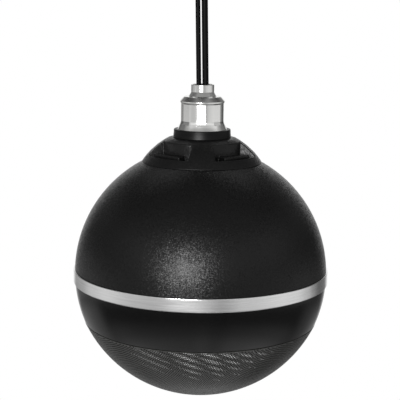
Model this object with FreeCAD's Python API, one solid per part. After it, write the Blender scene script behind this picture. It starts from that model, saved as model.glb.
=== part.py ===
import FreeCAD, Part
import math
import os

# Pendant ball speaker. A ceiling cup hides the bracket that carries the steel wire and the
# two-core cable. Both run down through a metal gland into a ball of two moulded shells with
# an aluminium band at the joint, a ribbed cap on top and a perforated steel grille below.
# Millimetres, +Z up. The origin is the centre of the bracket's feet, on the ceiling.
# Heights of the ball and of what hangs with it are counted from the ball's centre.

# Hanging. The routes are chosen by hand, from the ceiling down. Both cords are taut and lean
# a little, because the stiffer cable holds the ball off the plumb line. The ball's height
# follows from the wire's lower end, because the wire carries it.
HANG_OFFSET = 1.95
WIRE_R = 1.9
WIRE_ROUTE = [(-3.4, 0.0, -5.9), (0.8, 0.0, -197.1)]
CABLE_R = 2.45
CABLE_ROUTE = [(2.4, 0.0, -31.2), (6.26, 0.0, -207.0), (6.26, 24.0, -207.0)]
CORD_FIT = 0.05
STOP_R = 2.7
STOP_LENGTH = 10.0

# Clearances
SEAT_GAP = 0.3
BAND_GAP = 0.2
SLIP = 0.1

# Shells
BALL_R = 100.0
WALL = 3.0
SPLIT_HEIGHT = -1.35
EDGE_BREAK = 0.5
BELT_WALL = 5.0
BELT_REACH = 12.0
TONGUE_DEPTH = 2.0
TONGUE_WALL = 1.5
ROOF_SINK = 14.0
ROOF_THICK = 4.0
TOWER_COUNT = 4
TOWER_TURN = 45.0
TOWER_R = 4.5
TOWER_WEB = 3.0
TOWER_INSET = 6.5

# Aluminium band
BAND_PROUD = 1.0
BAND_THICK = 2.4
BAND_HEIGHT = 10.1
BAND_BEVEL = 0.35

# Grille
GRILLE_TOP = -38.5
GRILLE_BULGE = 59.2
GRILLE_SHEET = 1.0
GRILLE_LIP = 7.5
GRILLE_HOLE_R = 4.4
GRILLE_RINGS = 5
GRILLE_RING_STEP = 11.0

# Cap
CAP_RIM_R = 47.2
CAP_DOME_R = 56.4
CAP_RISE = 8.0
CAP_WALL = 2.6
CAP_SPIGOT_R = 45.7
CAP_HUB_R = 14.0
RIB_COUNT = 4
RIB_HALF_TURN = 14.0
RECESS_INNER_R = 30.4
RECESS_OUTER_R = 42.3
RECESS_DEPTH = 16.4
PAD_RISE = 4.9
PAD_HALF_TURN = 19.4
PAD_EDGE = 37.9

# Collar
COLLAR_R = 22.7
COLLAR_HEIGHT = 6.4
COLLAR_BEVEL = 0.8

# Gland
GLAND_FOOT_R = 19.3
GLAND_FLARE_HEIGHT = 6.5
GLAND_BODY_R = 16.95
GLAND_LIP_R = 17.5
GLAND_LIP_HEIGHT = 1.2
GLAND_SIDE = 22.2
GLAND_SHOULDER_R = 14.4
GLAND_SHOULDER_RISE = 3.2
GLAND_NECK_R = 10.8
GLAND_NECK_RISE = 3.3
GLAND_FLATS = 8
GLAND_FLAT_DEPTH = 0.3
GLAND_TURN = -2.4
GLAND_FLAT_FOOT = 3.8
GLAND_RING_R = 9.1
GLAND_RING_HEIGHT = 6.0
GLAND_BORE_R = 7.6
SEAL_LENGTH = 20.0
SEAL_SINK = 0.7
NIPPLE_R = 9.9
NIPPLE_BORE_R = 8.0
NIPPLE_GRIP = 10.0
LOCKNUT_FLATS = 26.0
LOCKNUT_THICK = 5.0

# Load path inside the ball
PLATE_THICK = 2.0
PLATE_HALF_WIDTH = 30.0
PLATE_MARGIN = 3.8
TAB_PLACE = 38.0
TAB_HALF_WIDTH = 16.0
TAB_DROP = 36.0
WASHER_R = 12.0
WASHER_THICK = 2.0

# Terminals, transformer and leads
INPUT_BLOCK = (30.0, 18.0)
TERMINAL_WELL_R = 3.0
TERMINAL_WELL = 5.0
TERMINAL_PITCH = 9.0
CORE_WIDTH = 42.0
CORE_STACK = 16.0
CORE_HEIGHT = 35.0
CORE_LEG = 14.0
CORE_YOKE = 7.0
CORE_PLACE = -31.0
BOBBIN_REACH = 7.0
BOBBIN_FIT = 0.2
STRAP_WIDTH = 10.0
STRAP_THICK = 1.2
STRAP_FOOT = 8.0
LEAD_R = 1.0
LEAD_SPREAD = 4.0
LEAD_BOW = 8.0
BEND_SHARE = 0.45

# Damping
LINING_THICK = 10.0
LINING_FOOT = 16.0
LINING_MOUTH_R = 62.5

# Baffle
BAFFLE_THICK = 6.0
LEDGE_THICK = 2.5
LEDGE_REACH = 8.3

# Driver
FRAME_INSET = 15.0
FRAME_SHEET = 1.5
FLANGE_WIDTH = 12.0
FRAME_DEPTH = 36.0
LEDGE_R = 42.0
LEDGE_DROP = 7.5
NECK_R = 35.0
FRAME_EYE_R = 22.0
WINDOWS = 6
WINDOW_WIDTH = 26.0
TOP_PLATE_R = 36.0
TOP_PLATE_THICK = 5.0
MAGNET_R = 40.0
MAGNET_BORE_R = 20.0
MAGNET_THICK = 14.0
BACK_PLATE_THICK = 5.0
POLE_R = 12.5
COIL_GAP = 0.4
FORMER_THICK = 0.3
WINDING_THICK = 0.7
WINDING_LENGTH = 9.0
PAPER = 0.7
SURROUND_SHEET = 0.8
SURROUND_LIP = 3.5
ROLL_WIDTH = 7.5
CONE_NECK_HEIGHT = -16.0
DUST_CAP_R = 16.5
DUST_CAP_DEPTH = 6.0
SPIDER_SHEET = 0.8
SPIDER_WAVES = 3
SPIDER_WAVE = 2.4
GASKET_THICK = 1.5

# Screws
SHELL_SCREW_R = 2.0
SHELL_SCREW_HEAD_R = 3.5
SHELL_SCREW_HEAD = 2.3
SHELL_SCREW_BITE = 10.0
DRIVER_SCREW_R = 1.7
DRIVER_SCREW_HEAD_R = 3.2
DRIVER_SCREW_HEAD = 2.2
DRIVER_SCREW_BITE = 5.0

# Ceiling cup and bracket
CUP_R = 38.0
CUP_HEIGHT = 38.0
CUP_WALL = 1.6
CUP_CORNER = 4.0
FOOT_PITCH = 50.0
FOOT_LENGTH = 12.0
BRACKET_WIDTH = 20.0
BRACKET_SHEET = 1.6
BRIDGE_LENGTH = 32.0
MOUNT_HOLE_R = 2.25
GRIP_R = 10.0
GRIP_DROP = 6.0
GRIP_THREAD_R = 8.0
GRIP_BORE_R = 6.5
GRIP_NUT_FLATS = 20.0
GRIP_NUT_THICK = 3.0
CEILING_BLOCK = (12.0, 20.0)

# Values that follow from the sizes above
CUP_FLOOR = -CUP_HEIGHT
BRIDGE_TOP = WIRE_ROUTE[0][2] - STOP_LENGTH - SLIP
BRIDGE_FOOT = BRIDGE_TOP - BRACKET_SHEET
BAND_TOP = SPLIT_HEIGHT + BAND_HEIGHT / 2
BAND_FOOT = SPLIT_HEIGHT - BAND_HEIGHT / 2
BAND_R = BALL_R + BAND_PROUD
BAND_BORE = BAND_R - BAND_THICK
INNER_R = BALL_R - WALL
BELT_R = BALL_R - BELT_WALL
TOWER_PITCH_R = BELT_R - TOWER_INSET
ROOF_HEIGHT = BALL_R - ROOF_SINK
CAP_TOP = BALL_R + CAP_RISE
RECESS_FLOOR = CAP_TOP - RECESS_DEPTH
PAD_HEIGHT = RECESS_FLOOR + PAD_RISE
COLLAR_TOP = CAP_TOP + COLLAR_HEIGHT
GLAND_SHOULDER = COLLAR_TOP + GLAND_SIDE
GLAND_NECK = GLAND_SHOULDER + GLAND_SHOULDER_RISE
GLAND_RING_FOOT = GLAND_NECK + GLAND_NECK_RISE
GLAND_TOP = GLAND_RING_FOOT + GLAND_RING_HEIGHT
NIPPLE_TOP = COLLAR_TOP + NIPPLE_GRIP
PLATE_TOP = ROOF_HEIGHT - ROOF_THICK
PLATE_FOOT = PLATE_TOP - PLATE_THICK
LOCKNUT_FOOT = PLATE_FOOT - LOCKNUT_THICK
WASHER_FOOT = LOCKNUT_FOOT - WASHER_THICK
HANG_DROP = WASHER_FOOT - SLIP - STOP_LENGTH - WIRE_ROUTE[1][2]
BAFFLE_FOOT = GRILLE_TOP + LEDGE_THICK
PILLAR_FOOT = BAFFLE_FOOT + BAFFLE_THICK + SHELL_SCREW_HEAD + 2 * SEAT_GAP
LEDGE_INNER_R = math.sqrt(BALL_R ** 2 - GRILLE_TOP ** 2) - LEDGE_REACH
FRAME_R = LEDGE_INNER_R - FRAME_INSET
FRAME_MOUTH_R = FRAME_R - FLANGE_WIDTH
BAFFLE_HOLE_R = FRAME_MOUTH_R + 2 * FRAME_SHEET
DRIVER_SCREW_PITCH_R = (FRAME_R + BAFFLE_HOLE_R) / 2
FLANGE_FOOT = BAFFLE_FOOT - FRAME_SHEET
FRAME_TOP = BAFFLE_FOOT + FRAME_DEPTH
SPIDER_SEAT = FRAME_TOP - LEDGE_DROP - FRAME_SHEET
COIL_R = POLE_R + COIL_GAP
FORMER_R = COIL_R + FORMER_THICK
WINDING_R = FORMER_R + WINDING_THICK
GAP_R = WINDING_R + COIL_GAP
MAGNET_FOOT = FRAME_TOP + TOP_PLATE_THICK
BACK_FOOT = MAGNET_FOOT + MAGNET_THICK
ROLL_OUTER_R = FRAME_MOUTH_R + SEAT_GAP
ROLL_INNER_R = ROLL_OUTER_R - ROLL_WIDTH
CONE_EDGE_R = ROLL_INNER_R
CORE_TOP = PLATE_FOOT
CORE_FOOT = CORE_TOP - CORE_HEIGHT

Vector = FreeCAD.Vector
ORIGIN = Vector(0, 0, 0)
UP = Vector(0, 0, 1)
NORTH = Vector(0, 1, 0)


def ball_width(height, radius=BALL_R, centre=0.0):
    """Radius of a sphere about the axis at one height."""
    return math.sqrt(radius ** 2 - (height - centre) ** 2)


def around(radius, centre, start, end):
    """Middle and end of the arc that a sphere's outline makes from one height to another."""
    first, last = (math.asin((height - centre) / radius) for height in (start, end))
    return tuple((radius * math.cos(turn), centre + radius * math.sin(turn))
                 for turn in ((first + last) / 2, last))


def turned(start, *moves):
    """Solid turned about the axis. A move is a point, or the middle and end of an arc."""
    first = Vector(start[0], 0, start[1])
    here = first
    edges = []
    for move in moves:
        if isinstance(move[0], tuple):
            middle, end = (Vector(radius, 0, height) for radius, height in move)
            edges.append(Part.Arc(here, middle, end).toShape())
        else:
            end = Vector(move[0], 0, move[1])
            edges.append(Part.LineSegment(here, end).toShape())
        here = end
    if not here.isEqual(first, 1e-7):
        edges.append(Part.LineSegment(here, first).toShape())
    return Part.Face(Part.Wire(edges)).revolve(ORIGIN, UP, 360)


def rod(radius, foot, top, x=0.0, y=0.0):
    return Part.makeCylinder(radius, top - foot, Vector(x, y, foot))


def tube(outer, inner, foot, top):
    return rod(outer, foot, top).cut(rod(inner, foot, top))


def block(width, depth, foot, top, x=0.0, y=0.0):
    """Upright box centred on x and y."""
    return Part.makeBox(width, depth, top - foot, Vector(x - width / 2, y - depth / 2, foot))


def turned_by(shape, degrees):
    copy = shape.copy()
    copy.rotate(ORIGIN, UP, degrees)
    return copy


def copies(shape, count, start=0.0):
    """Copies of a shape spread evenly about the axis."""
    return [turned_by(shape, start + 360.0 * index / count) for index in range(count)]


def hexagon(flats, foot, top):
    corner = flats / math.sqrt(3)
    points = [Vector(corner * math.cos(math.radians(turn)), corner * math.sin(math.radians(turn)), foot)
              for turn in range(0, 361, 60)]
    return Part.Face(Part.makePolygon(points)).extrude(UP * (top - foot))


def wedge(half_turn, reach, foot, top, middle=0.0):
    """Upright prism between two planes through the axis, for cutting sectors."""
    sides = [math.radians(middle + side * half_turn) for side in (-1, 0, 1)]
    spread = reach / math.cos(math.radians(half_turn))
    points = [Vector(0, 0, foot)] + [Vector(spread * math.cos(side), spread * math.sin(side), foot)
                                     for side in sides] + [Vector(0, 0, foot)]
    return Part.Face(Part.makePolygon(points)).extrude(UP * (top - foot))


def towers(foot, top, extra=0.0):
    """Screw towers, each with a web out to the shell's wall."""
    web = block(BALL_R - TOWER_PITCH_R, TOWER_WEB + 2 * extra, foot, top, (BALL_R + TOWER_PITCH_R) / 2)
    post = rod(TOWER_R + extra, foot, top, TOWER_PITCH_R).fuse(web)
    inside = Part.makeSphere(BALL_R - WALL / 2)
    return copies(post.common(inside), TOWER_COUNT, TOWER_TURN)


def at_towers(shape):
    return copies(shape, TOWER_COUNT, TOWER_TURN)


def routed(points, radius):
    """Round cord along straight runs that tangent arcs join."""
    edges = []
    start = points[0]
    for before, corner, after in zip(points, points[1:], points[2:]):
        arriving = (corner - before).normalize()
        leaving = (after - corner).normalize()
        reach = BEND_SHARE * min(before.distanceToPoint(corner), corner.distanceToPoint(after))
        half_turn = arriving.getAngle(leaving) / 2
        bend = reach / math.tan(half_turn)
        inward = (leaving - arriving).normalize()
        first = corner - arriving * reach
        middle = corner + inward * (bend / math.cos(half_turn) - bend)
        last = corner + leaving * reach
        print("cord bend radius %.1f mm" % bend)
        edges.append(Part.LineSegment(start, first).toShape())
        edges.append(Part.Arc(first, middle, last).toShape())
        start = last
    edges.append(Part.LineSegment(start, points[-1]).toShape())
    path = Part.Wire(edges)
    section = Part.Wire(Part.makeCircle(radius, points[0], points[1] - points[0]))
    cord = path.makePipeShell([section], True, True)
    print("cord length %.1f mm, volume over section times length %.4f"
          % (path.Length, cord.Volume / (math.pi * radius ** 2 * path.Length)))
    return cord


def cord_at(route, height):
    """Point on a cord's straight run, at a height under the ceiling."""
    top, low = Vector(*route[0]), Vector(*route[1])
    return top + (low - top) * ((height - top.z) / (low.z - top.z))


def cord_length_of(route, radius, foot, top):
    """Leaning cylinder on a cord's straight run, between two heights under the ceiling."""
    low, high = cord_at(route, foot), cord_at(route, top)
    return Part.makeCylinder(radius, low.distanceToPoint(high), low, high - low)


def without_cords(shape):
    """Cuts the holes that the two cords pass through, for a piece in its final place."""
    box = shape.BoundBox
    for route, radius in ((WIRE_ROUTE, WIRE_R), (CABLE_ROUTE, CABLE_R)):
        shape = shape.cut(cord_length_of(route, radius + CORD_FIT, box.ZMin - 1, box.ZMax + 1))
    return shape


def placed(shape):
    """Moves what is modelled about the ball's centre to its place under the ceiling."""
    return shape.translated(Vector(HANG_OFFSET, 0, -HANG_DROP))


# Ball: shells, band, grille and cap


def upper_shell():
    rebate = BAND_BORE - BAND_GAP
    shoulder = BAND_TOP + BAND_GAP
    seat = CAP_SPIGOT_R + SEAT_GAP
    belt_top = SPLIT_HEIGHT + BELT_REACH
    shell = turned(
        (BELT_R, SPLIT_HEIGHT - TONGUE_DEPTH), (BELT_R + TONGUE_WALL, SPLIT_HEIGHT - TONGUE_DEPTH),
        (BELT_R + TONGUE_WALL, SPLIT_HEIGHT), (rebate, SPLIT_HEIGHT), (rebate, shoulder),
        (ball_width(shoulder), shoulder), around(BALL_R, 0, shoulder, ball_width(seat)),
        (seat, ROOF_HEIGHT), (NIPPLE_R + SEAT_GAP, ROOF_HEIGHT), (NIPPLE_R + SEAT_GAP, PLATE_TOP),
        (ball_width(PLATE_TOP, INNER_R), PLATE_TOP),
        around(INNER_R, 0, PLATE_TOP, belt_top + WALL), (BELT_R, belt_top))
    for tower in towers(SPLIT_HEIGHT, ball_width(TOWER_PITCH_R - TOWER_R, INNER_R)):
        shell = shell.fuse(tower)
    bite = SPLIT_HEIGHT + SHELL_SCREW_BITE + SEAT_GAP
    for hole in at_towers(rod(SHELL_SCREW_R + SLIP, SPLIT_HEIGHT, bite, TOWER_PITCH_R)):
        shell = shell.cut(hole)
    return shell.removeSplitter()


def lower_shell():
    rebate = BAND_BORE - BAND_GAP
    shoulder = BAND_FOOT - BAND_GAP
    groove_r = BELT_R + TONGUE_WALL + BAND_GAP
    groove = SPLIT_HEIGHT - TONGUE_DEPTH - SEAT_GAP
    belt_foot = SPLIT_HEIGHT - BELT_REACH
    shell = turned(
        (groove_r, SPLIT_HEIGHT), (rebate, SPLIT_HEIGHT), (rebate, shoulder),
        (ball_width(shoulder), shoulder), around(BALL_R, 0, shoulder, GRILLE_TOP + EDGE_BREAK),
        (ball_width(GRILLE_TOP) - EDGE_BREAK, GRILLE_TOP), (LEDGE_INNER_R, GRILLE_TOP),
        (LEDGE_INNER_R, BAFFLE_FOOT),
        (ball_width(BAFFLE_FOOT, INNER_R), BAFFLE_FOOT),
        around(INNER_R, 0, BAFFLE_FOOT, belt_foot - WALL), (BELT_R, belt_foot),
        (BELT_R, groove), (groove_r, groove))
    for pillar in towers(PILLAR_FOOT, SPLIT_HEIGHT):
        shell = shell.fuse(pillar)
    shell = shell.cut(tube(groove_r, BELT_R - BAND_GAP, groove, SPLIT_HEIGHT))
    for hole in at_towers(rod(SHELL_SCREW_R + SLIP, PILLAR_FOOT, SPLIT_HEIGHT, TOWER_PITCH_R)):
        shell = shell.cut(hole)
    return shell.removeSplitter()


def shell_screws():
    shank = rod(SHELL_SCREW_R, PILLAR_FOOT, SPLIT_HEIGHT + SHELL_SCREW_BITE, TOWER_PITCH_R)
    head = rod(SHELL_SCREW_HEAD_R, PILLAR_FOOT - SHELL_SCREW_HEAD, PILLAR_FOOT, TOWER_PITCH_R)
    return at_towers(shank.fuse(head))


def trim_band():
    face = BAND_R - BAND_BEVEL
    return turned(
        (BAND_BORE, BAND_FOOT), (face, BAND_FOOT), (BAND_R, BAND_FOOT + BAND_BEVEL),
        (BAND_R, BAND_TOP - BAND_BEVEL), (face, BAND_TOP), (BAND_BORE, BAND_TOP))


def grille():
    """Domed sheet with an inturned lip and rings of holes square to its surface."""
    rim = ball_width(GRILLE_TOP)
    radius = (rim ** 2 + GRILLE_BULGE ** 2) / (2 * GRILLE_BULGE)
    inner = radius - GRILLE_SHEET
    top = GRILLE_TOP - SEAT_GAP
    under = top - GRILLE_SHEET
    bottom = top - GRILLE_BULGE
    centre = bottom + radius
    dome = turned(
        (0, bottom + GRILLE_SHEET), (0, bottom), around(radius, centre, bottom, top),
        (rim - GRILLE_LIP, top), (rim - GRILLE_LIP, under), (ball_width(under, inner, centre), under),
        around(inner, centre, under, bottom + GRILLE_SHEET))
    drill = rod(GRILLE_HOLE_R, bottom - GRILLE_SHEET, bottom + 2 * GRILLE_SHEET)
    holes = [drill]
    for ring in range(1, GRILLE_RINGS + 1):
        tilted = drill.copy()
        tilted.rotate(Vector(0, 0, centre), NORTH, -ring * GRILLE_RING_STEP)
        holes += copies(tilted, 6 * ring, 180.0 / (6 * ring) * (ring % 2))
    return dome.cut(Part.makeCompound(holes))


def vent_cap():
    """Domed cap with four ribs, and between them recesses with a raised pad on the floor."""
    seat = ball_width(CAP_RIM_R) + SEAT_GAP
    centre = seat - ball_width(CAP_RIM_R, CAP_DOME_R)
    hole = NIPPLE_R + SEAT_GAP
    ceiling = RECESS_FLOOR - CAP_WALL
    crown = CAP_TOP - CAP_WALL
    cap = turned(
        (hole, ROOF_HEIGHT), (CAP_HUB_R, ROOF_HEIGHT), (CAP_HUB_R, crown),
        (RECESS_INNER_R - CAP_WALL, crown), (RECESS_INNER_R - CAP_WALL, ceiling),
        (CAP_SPIGOT_R - CAP_WALL, ceiling), (CAP_SPIGOT_R - CAP_WALL, ROOF_HEIGHT),
        (CAP_SPIGOT_R, ROOF_HEIGHT), (CAP_SPIGOT_R, ball_width(CAP_SPIGOT_R) + SEAT_GAP),
        (CAP_RIM_R, seat), around(CAP_DOME_R, centre, seat, CAP_TOP), (hole, CAP_TOP))
    sector = 180.0 / RIB_COUNT
    slot = tube(RECESS_OUTER_R, RECESS_INNER_R, RECESS_FLOOR, CAP_TOP)
    recess = slot.common(wedge(sector - RIB_HALF_TURN, 2 * CAP_RIM_R, RECESS_FLOOR, CAP_TOP, sector))
    pad = wedge(PAD_HALF_TURN, 2 * CAP_RIM_R, RECESS_FLOOR, PAD_HEIGHT, sector)
    front = Part.makeBox(PAD_EDGE, 2 * CAP_RIM_R, CAP_TOP, Vector(0, -CAP_RIM_R, 0))
    recess = recess.cut(pad.common(turned_by(front, sector)))
    for cut in copies(recess, RIB_COUNT):
        cap = cap.cut(cut)
    return cap


def collar_ring():
    bore = NIPPLE_R + SEAT_GAP
    return turned(
        (bore, CAP_TOP), (COLLAR_R, CAP_TOP), (COLLAR_R, COLLAR_TOP - COLLAR_BEVEL),
        (COLLAR_R - COLLAR_BEVEL, COLLAR_TOP), (bore, COLLAR_TOP))


# Gland and what it clamps


def gland_body():
    """Turned nickel body with a flared foot, shallow spanner flats and a coned neck."""
    lip = GLAND_SHOULDER - GLAND_LIP_HEIGHT
    flare = COLLAR_TOP + GLAND_FLARE_HEIGHT
    waist = ((GLAND_FOOT_R + 2 * GLAND_BODY_R) / 3, COLLAR_TOP + GLAND_FLARE_HEIGHT * 0.42)
    body = turned(
        (NIPPLE_R + SLIP, COLLAR_TOP), (GLAND_FOOT_R, COLLAR_TOP), (waist, (GLAND_BODY_R, flare)),
        (GLAND_BODY_R, lip - GLAND_LIP_HEIGHT), (GLAND_LIP_R, lip), (GLAND_LIP_R, GLAND_SHOULDER),
        (GLAND_SHOULDER_R, GLAND_NECK), (GLAND_NECK_R, GLAND_NECK), (GLAND_RING_R, GLAND_RING_FOOT),
        (GLAND_BORE_R, GLAND_RING_FOOT), (GLAND_BORE_R, NIPPLE_TOP + SLIP),
        (NIPPLE_R + SLIP, NIPPLE_TOP + SLIP))
    flat = block(GLAND_BODY_R, 2 * GLAND_BODY_R, COLLAR_TOP + GLAND_FLAT_FOOT, lip,
                 GLAND_BODY_R * 1.5 - GLAND_FLAT_DEPTH)
    for cut in copies(flat, GLAND_FLATS, 180.0 / GLAND_FLATS + GLAND_TURN):
        body = body.cut(cut)
    return body


def gland_ring():
    return tube(GLAND_RING_R, GLAND_BORE_R, GLAND_RING_FOOT, GLAND_TOP)


def gland_seal():
    top = GLAND_TOP - SEAL_SINK
    return without_cords(placed(rod(GLAND_BORE_R - SLIP, top - SEAL_LENGTH, top)))


def gland_nipple():
    return tube(NIPPLE_R, NIPPLE_BORE_R, LOCKNUT_FOOT, NIPPLE_TOP)


def gland_locknut():
    return hexagon(LOCKNUT_FLATS, LOCKNUT_FOOT, PLATE_FOOT).cut(
        rod(NIPPLE_R + SLIP, LOCKNUT_FOOT, PLATE_FOOT))


def load_washer():
    return without_cords(placed(rod(WASHER_R, WASHER_FOOT, LOCKNUT_FOOT)))


def crimped(foot, top):
    """Sleeve crimped on the wire."""
    sleeve = cord_length_of(WIRE_ROUTE, STOP_R, foot, top)
    return sleeve.cut(cord_length_of(WIRE_ROUTE, WIRE_R + CORD_FIT, foot - STOP_R, top + STOP_R))


def wire_stop():
    """Sleeve under the load washer, at the wire's lower end."""
    foot = WIRE_ROUTE[1][2]
    return crimped(foot, WASHER_FOOT - HANG_DROP - SLIP)


def ceiling_wire_stop():
    """Sleeve on the bracket's bridge, at the wire's upper end."""
    return crimped(BRIDGE_TOP + SLIP, WIRE_ROUTE[0][2])


# Carrier plate, terminals, transformer and leads


def hanger_plate():
    """Round-ended plate under the shell's roof, with a tab turned down for the terminal."""
    reach = TAB_PLACE + PLATE_THICK
    radius = ball_width(PLATE_TOP, INNER_R) - PLATE_MARGIN
    sheet = Part.makeBox(2 * PLATE_HALF_WIDTH, radius + reach, PLATE_THICK,
                         Vector(-PLATE_HALF_WIDTH, -radius, PLATE_FOOT))
    sheet = sheet.common(rod(radius, PLATE_FOOT, PLATE_TOP))
    tab = block(2 * TAB_HALF_WIDTH, PLATE_THICK, PLATE_TOP - TAB_DROP, PLATE_TOP,
                0, TAB_PLACE + PLATE_THICK / 2)
    return sheet.fuse(tab).removeSplitter().cut(rod(NIPPLE_R + SEAT_GAP, PLATE_FOOT, PLATE_TOP))


def input_terminal():
    """Screw terminal on the tab, with the cable's entry on the side that faces the axis."""
    width, height = INPUT_BLOCK
    middle, entry = CABLE_ROUTE[-1][2] + HANG_DROP, CABLE_ROUTE[-1][1]
    foot, top = middle - height / 2, middle + height / 2
    depth = TAB_PLACE - entry
    body = block(width, depth, foot, top, 0, entry + depth / 2)
    for side in (-1, 0, 1):
        body = body.cut(rod(TERMINAL_WELL_R, top - TERMINAL_WELL, top, side * TERMINAL_PITCH,
                            entry + depth / 2))
    return placed(body)


def transformer_core():
    """Laminated core with two windows about its middle leg."""
    core = block(CORE_WIDTH, CORE_STACK, CORE_FOOT, CORE_TOP, 0, CORE_PLACE)
    window = CORE_WIDTH / 2 - CORE_LEG / 2 - CORE_YOKE
    for side in (-1, 1):
        core = core.cut(block(window, CORE_STACK, CORE_FOOT + CORE_YOKE, CORE_TOP - CORE_YOKE,
                              side * (CORE_LEG + window) / 2, CORE_PLACE))
    return core


def transformer_bobbin():
    """Winding round the core's middle leg."""
    foot = CORE_FOOT + CORE_YOKE + BOBBIN_FIT
    top = CORE_TOP - CORE_YOKE - BOBBIN_FIT
    width = CORE_WIDTH - 2 * CORE_YOKE - 2 * BOBBIN_FIT
    coil = block(width, CORE_STACK + 2 * BOBBIN_REACH, foot, top, 0, CORE_PLACE)
    return coil.cut(block(CORE_LEG + 2 * BOBBIN_FIT, CORE_STACK + 2 * BOBBIN_FIT, foot, top,
                          0, CORE_PLACE))


def transformer_strap():
    """Strap round the core with two feet on the carrier plate."""
    inside = CORE_WIDTH + 2 * BOBBIN_FIT
    outside = inside + 2 * STRAP_THICK
    foot = CORE_FOOT - BOBBIN_FIT
    strap = block(outside, STRAP_WIDTH, foot - STRAP_THICK, CORE_TOP, 0, CORE_PLACE)
    strap = strap.cut(block(inside, STRAP_WIDTH, foot, CORE_TOP, 0, CORE_PLACE))
    for side in (-1, 1):
        strap = strap.fuse(block(STRAP_FOOT, STRAP_WIDTH, CORE_TOP - STRAP_THICK, CORE_TOP,
                                 side * (inside + STRAP_FOOT) / 2, CORE_PLACE))
    return strap.removeSplitter()


def lead_place():
    """Where the driver's leads stand, just outside its magnet."""
    return -(MAGNET_R + LEAD_R + SEAT_GAP * 2)


def driver_terminal():
    foot = SPIDER_SEAT + FRAME_SHEET
    inner = NECK_R + FRAME_SHEET + SEAT_GAP
    depth = LEDGE_R - inner
    return block(3 * LEAD_SPREAD, depth, foot, foot + TOP_PLATE_THICK, 0, -(inner + depth / 2))


def driver_leads():
    """Two leads from the transformer's winding to the driver's terminal, with a bow between."""
    foot = SPIDER_SEAT + FRAME_SHEET + TOP_PLATE_THICK + SEAT_GAP + SLIP
    top = CORE_FOOT - BOBBIN_FIT - STRAP_THICK
    place = lead_place()
    leads = []
    for side in (-1, 1):
        across = side * LEAD_SPREAD
        points = [Vector(across, place, foot), Vector(across, place - LEAD_BOW, (foot + top) / 2),
                  Vector(across, place, top)]
        leads.append(routed(points, LEAD_R))
    return leads


def damping_lining():
    """Soft belt against the upper shell's wall, cut round the screw towers."""
    outer = INNER_R - SEAT_GAP
    inner = outer - LINING_THICK
    top = ball_width(LINING_MOUTH_R, inner)
    lining = turned(
        (ball_width(LINING_FOOT, inner), LINING_FOOT), (ball_width(LINING_FOOT, outer), LINING_FOOT),
        around(outer, 0, LINING_FOOT, top), (LINING_MOUTH_R, top))
    for tower in towers(LINING_FOOT, top, 2 * SEAT_GAP):
        lining = lining.cut(tower)
    return lining


# Driver


def baffle_ring():
    rim = ball_width(BAFFLE_FOOT, INNER_R) - SEAT_GAP
    ring = tube(rim, BAFFLE_HOLE_R, BAFFLE_FOOT, BAFFLE_FOOT + BAFFLE_THICK)
    drill = rod(DRIVER_SCREW_R + CORD_FIT, BAFFLE_FOOT, BAFFLE_FOOT + DRIVER_SCREW_BITE + SEAT_GAP,
                DRIVER_SCREW_PITCH_R)
    for hole in at_towers(drill):
        ring = ring.cut(hole)
    return ring


def driver_basket():
    """Pressed frame: flange, sloping wall with windows, spider ledge, neck and back."""
    sheet = FRAME_SHEET
    slant = sheet * 1.1
    basket = turned(
        (FRAME_R, FLANGE_FOOT), (FRAME_R, BAFFLE_FOOT), (FRAME_MOUTH_R + slant, BAFFLE_FOOT),
        (LEDGE_R + slant, SPIDER_SEAT + sheet), (NECK_R + sheet, SPIDER_SEAT + sheet),
        (NECK_R + sheet, FRAME_TOP), (FRAME_EYE_R, FRAME_TOP), (FRAME_EYE_R, FRAME_TOP - sheet),
        (NECK_R, FRAME_TOP - sheet), (NECK_R, SPIDER_SEAT), (LEDGE_R, SPIDER_SEAT),
        (FRAME_MOUTH_R, FLANGE_FOOT))
    low = FLANGE_FOOT + 0.22 * FRAME_DEPTH
    high = SPIDER_SEAT - 0.14 * FRAME_DEPTH
    window = Part.makeBox(FRAME_R, WINDOW_WIDTH, high - low, Vector(NECK_R, -WINDOW_WIDTH / 2, low))
    for cut in copies(window, WINDOWS, 180.0 / WINDOWS):
        basket = basket.cut(cut)
    drill = rod(DRIVER_SCREW_R + SLIP, FLANGE_FOOT, BAFFLE_FOOT, DRIVER_SCREW_PITCH_R)
    for hole in at_towers(drill):
        basket = basket.cut(hole)
    return basket


def driver_screws():
    screw = rod(DRIVER_SCREW_R, FLANGE_FOOT, BAFFLE_FOOT + DRIVER_SCREW_BITE, DRIVER_SCREW_PITCH_R)
    head = rod(DRIVER_SCREW_HEAD_R, FLANGE_FOOT - DRIVER_SCREW_HEAD, FLANGE_FOOT, DRIVER_SCREW_PITCH_R)
    return at_towers(screw.fuse(head))


def driver_gasket():
    foot = FLANGE_FOOT - SURROUND_SHEET - GASKET_THICK
    return tube(ROLL_OUTER_R + SURROUND_LIP, ROLL_OUTER_R, foot, foot + GASKET_THICK)


def surround():
    """Rubber roll between the cone's edge and the frame, kept to plain flanks."""
    top = FLANGE_FOOT
    foot = top - SURROUND_SHEET
    depth = ROLL_WIDTH / 2
    flank = ROLL_WIDTH / 4
    low = foot - depth
    upper = flank + SURROUND_SHEET / 2
    return turned(
        (ROLL_OUTER_R + SURROUND_LIP, foot), (ROLL_OUTER_R + SURROUND_LIP, top),
        (ROLL_OUTER_R - SURROUND_SHEET, top), (ROLL_OUTER_R - upper, low + SURROUND_SHEET),
        (ROLL_INNER_R + upper, low + SURROUND_SHEET), (ROLL_INNER_R + SURROUND_SHEET, top),
        (ROLL_INNER_R - SURROUND_LIP, top), (ROLL_INNER_R - SURROUND_LIP, foot), (ROLL_INNER_R, foot),
        (ROLL_INNER_R + flank, low), (ROLL_OUTER_R - flank, low), (ROLL_OUTER_R, foot))


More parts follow.
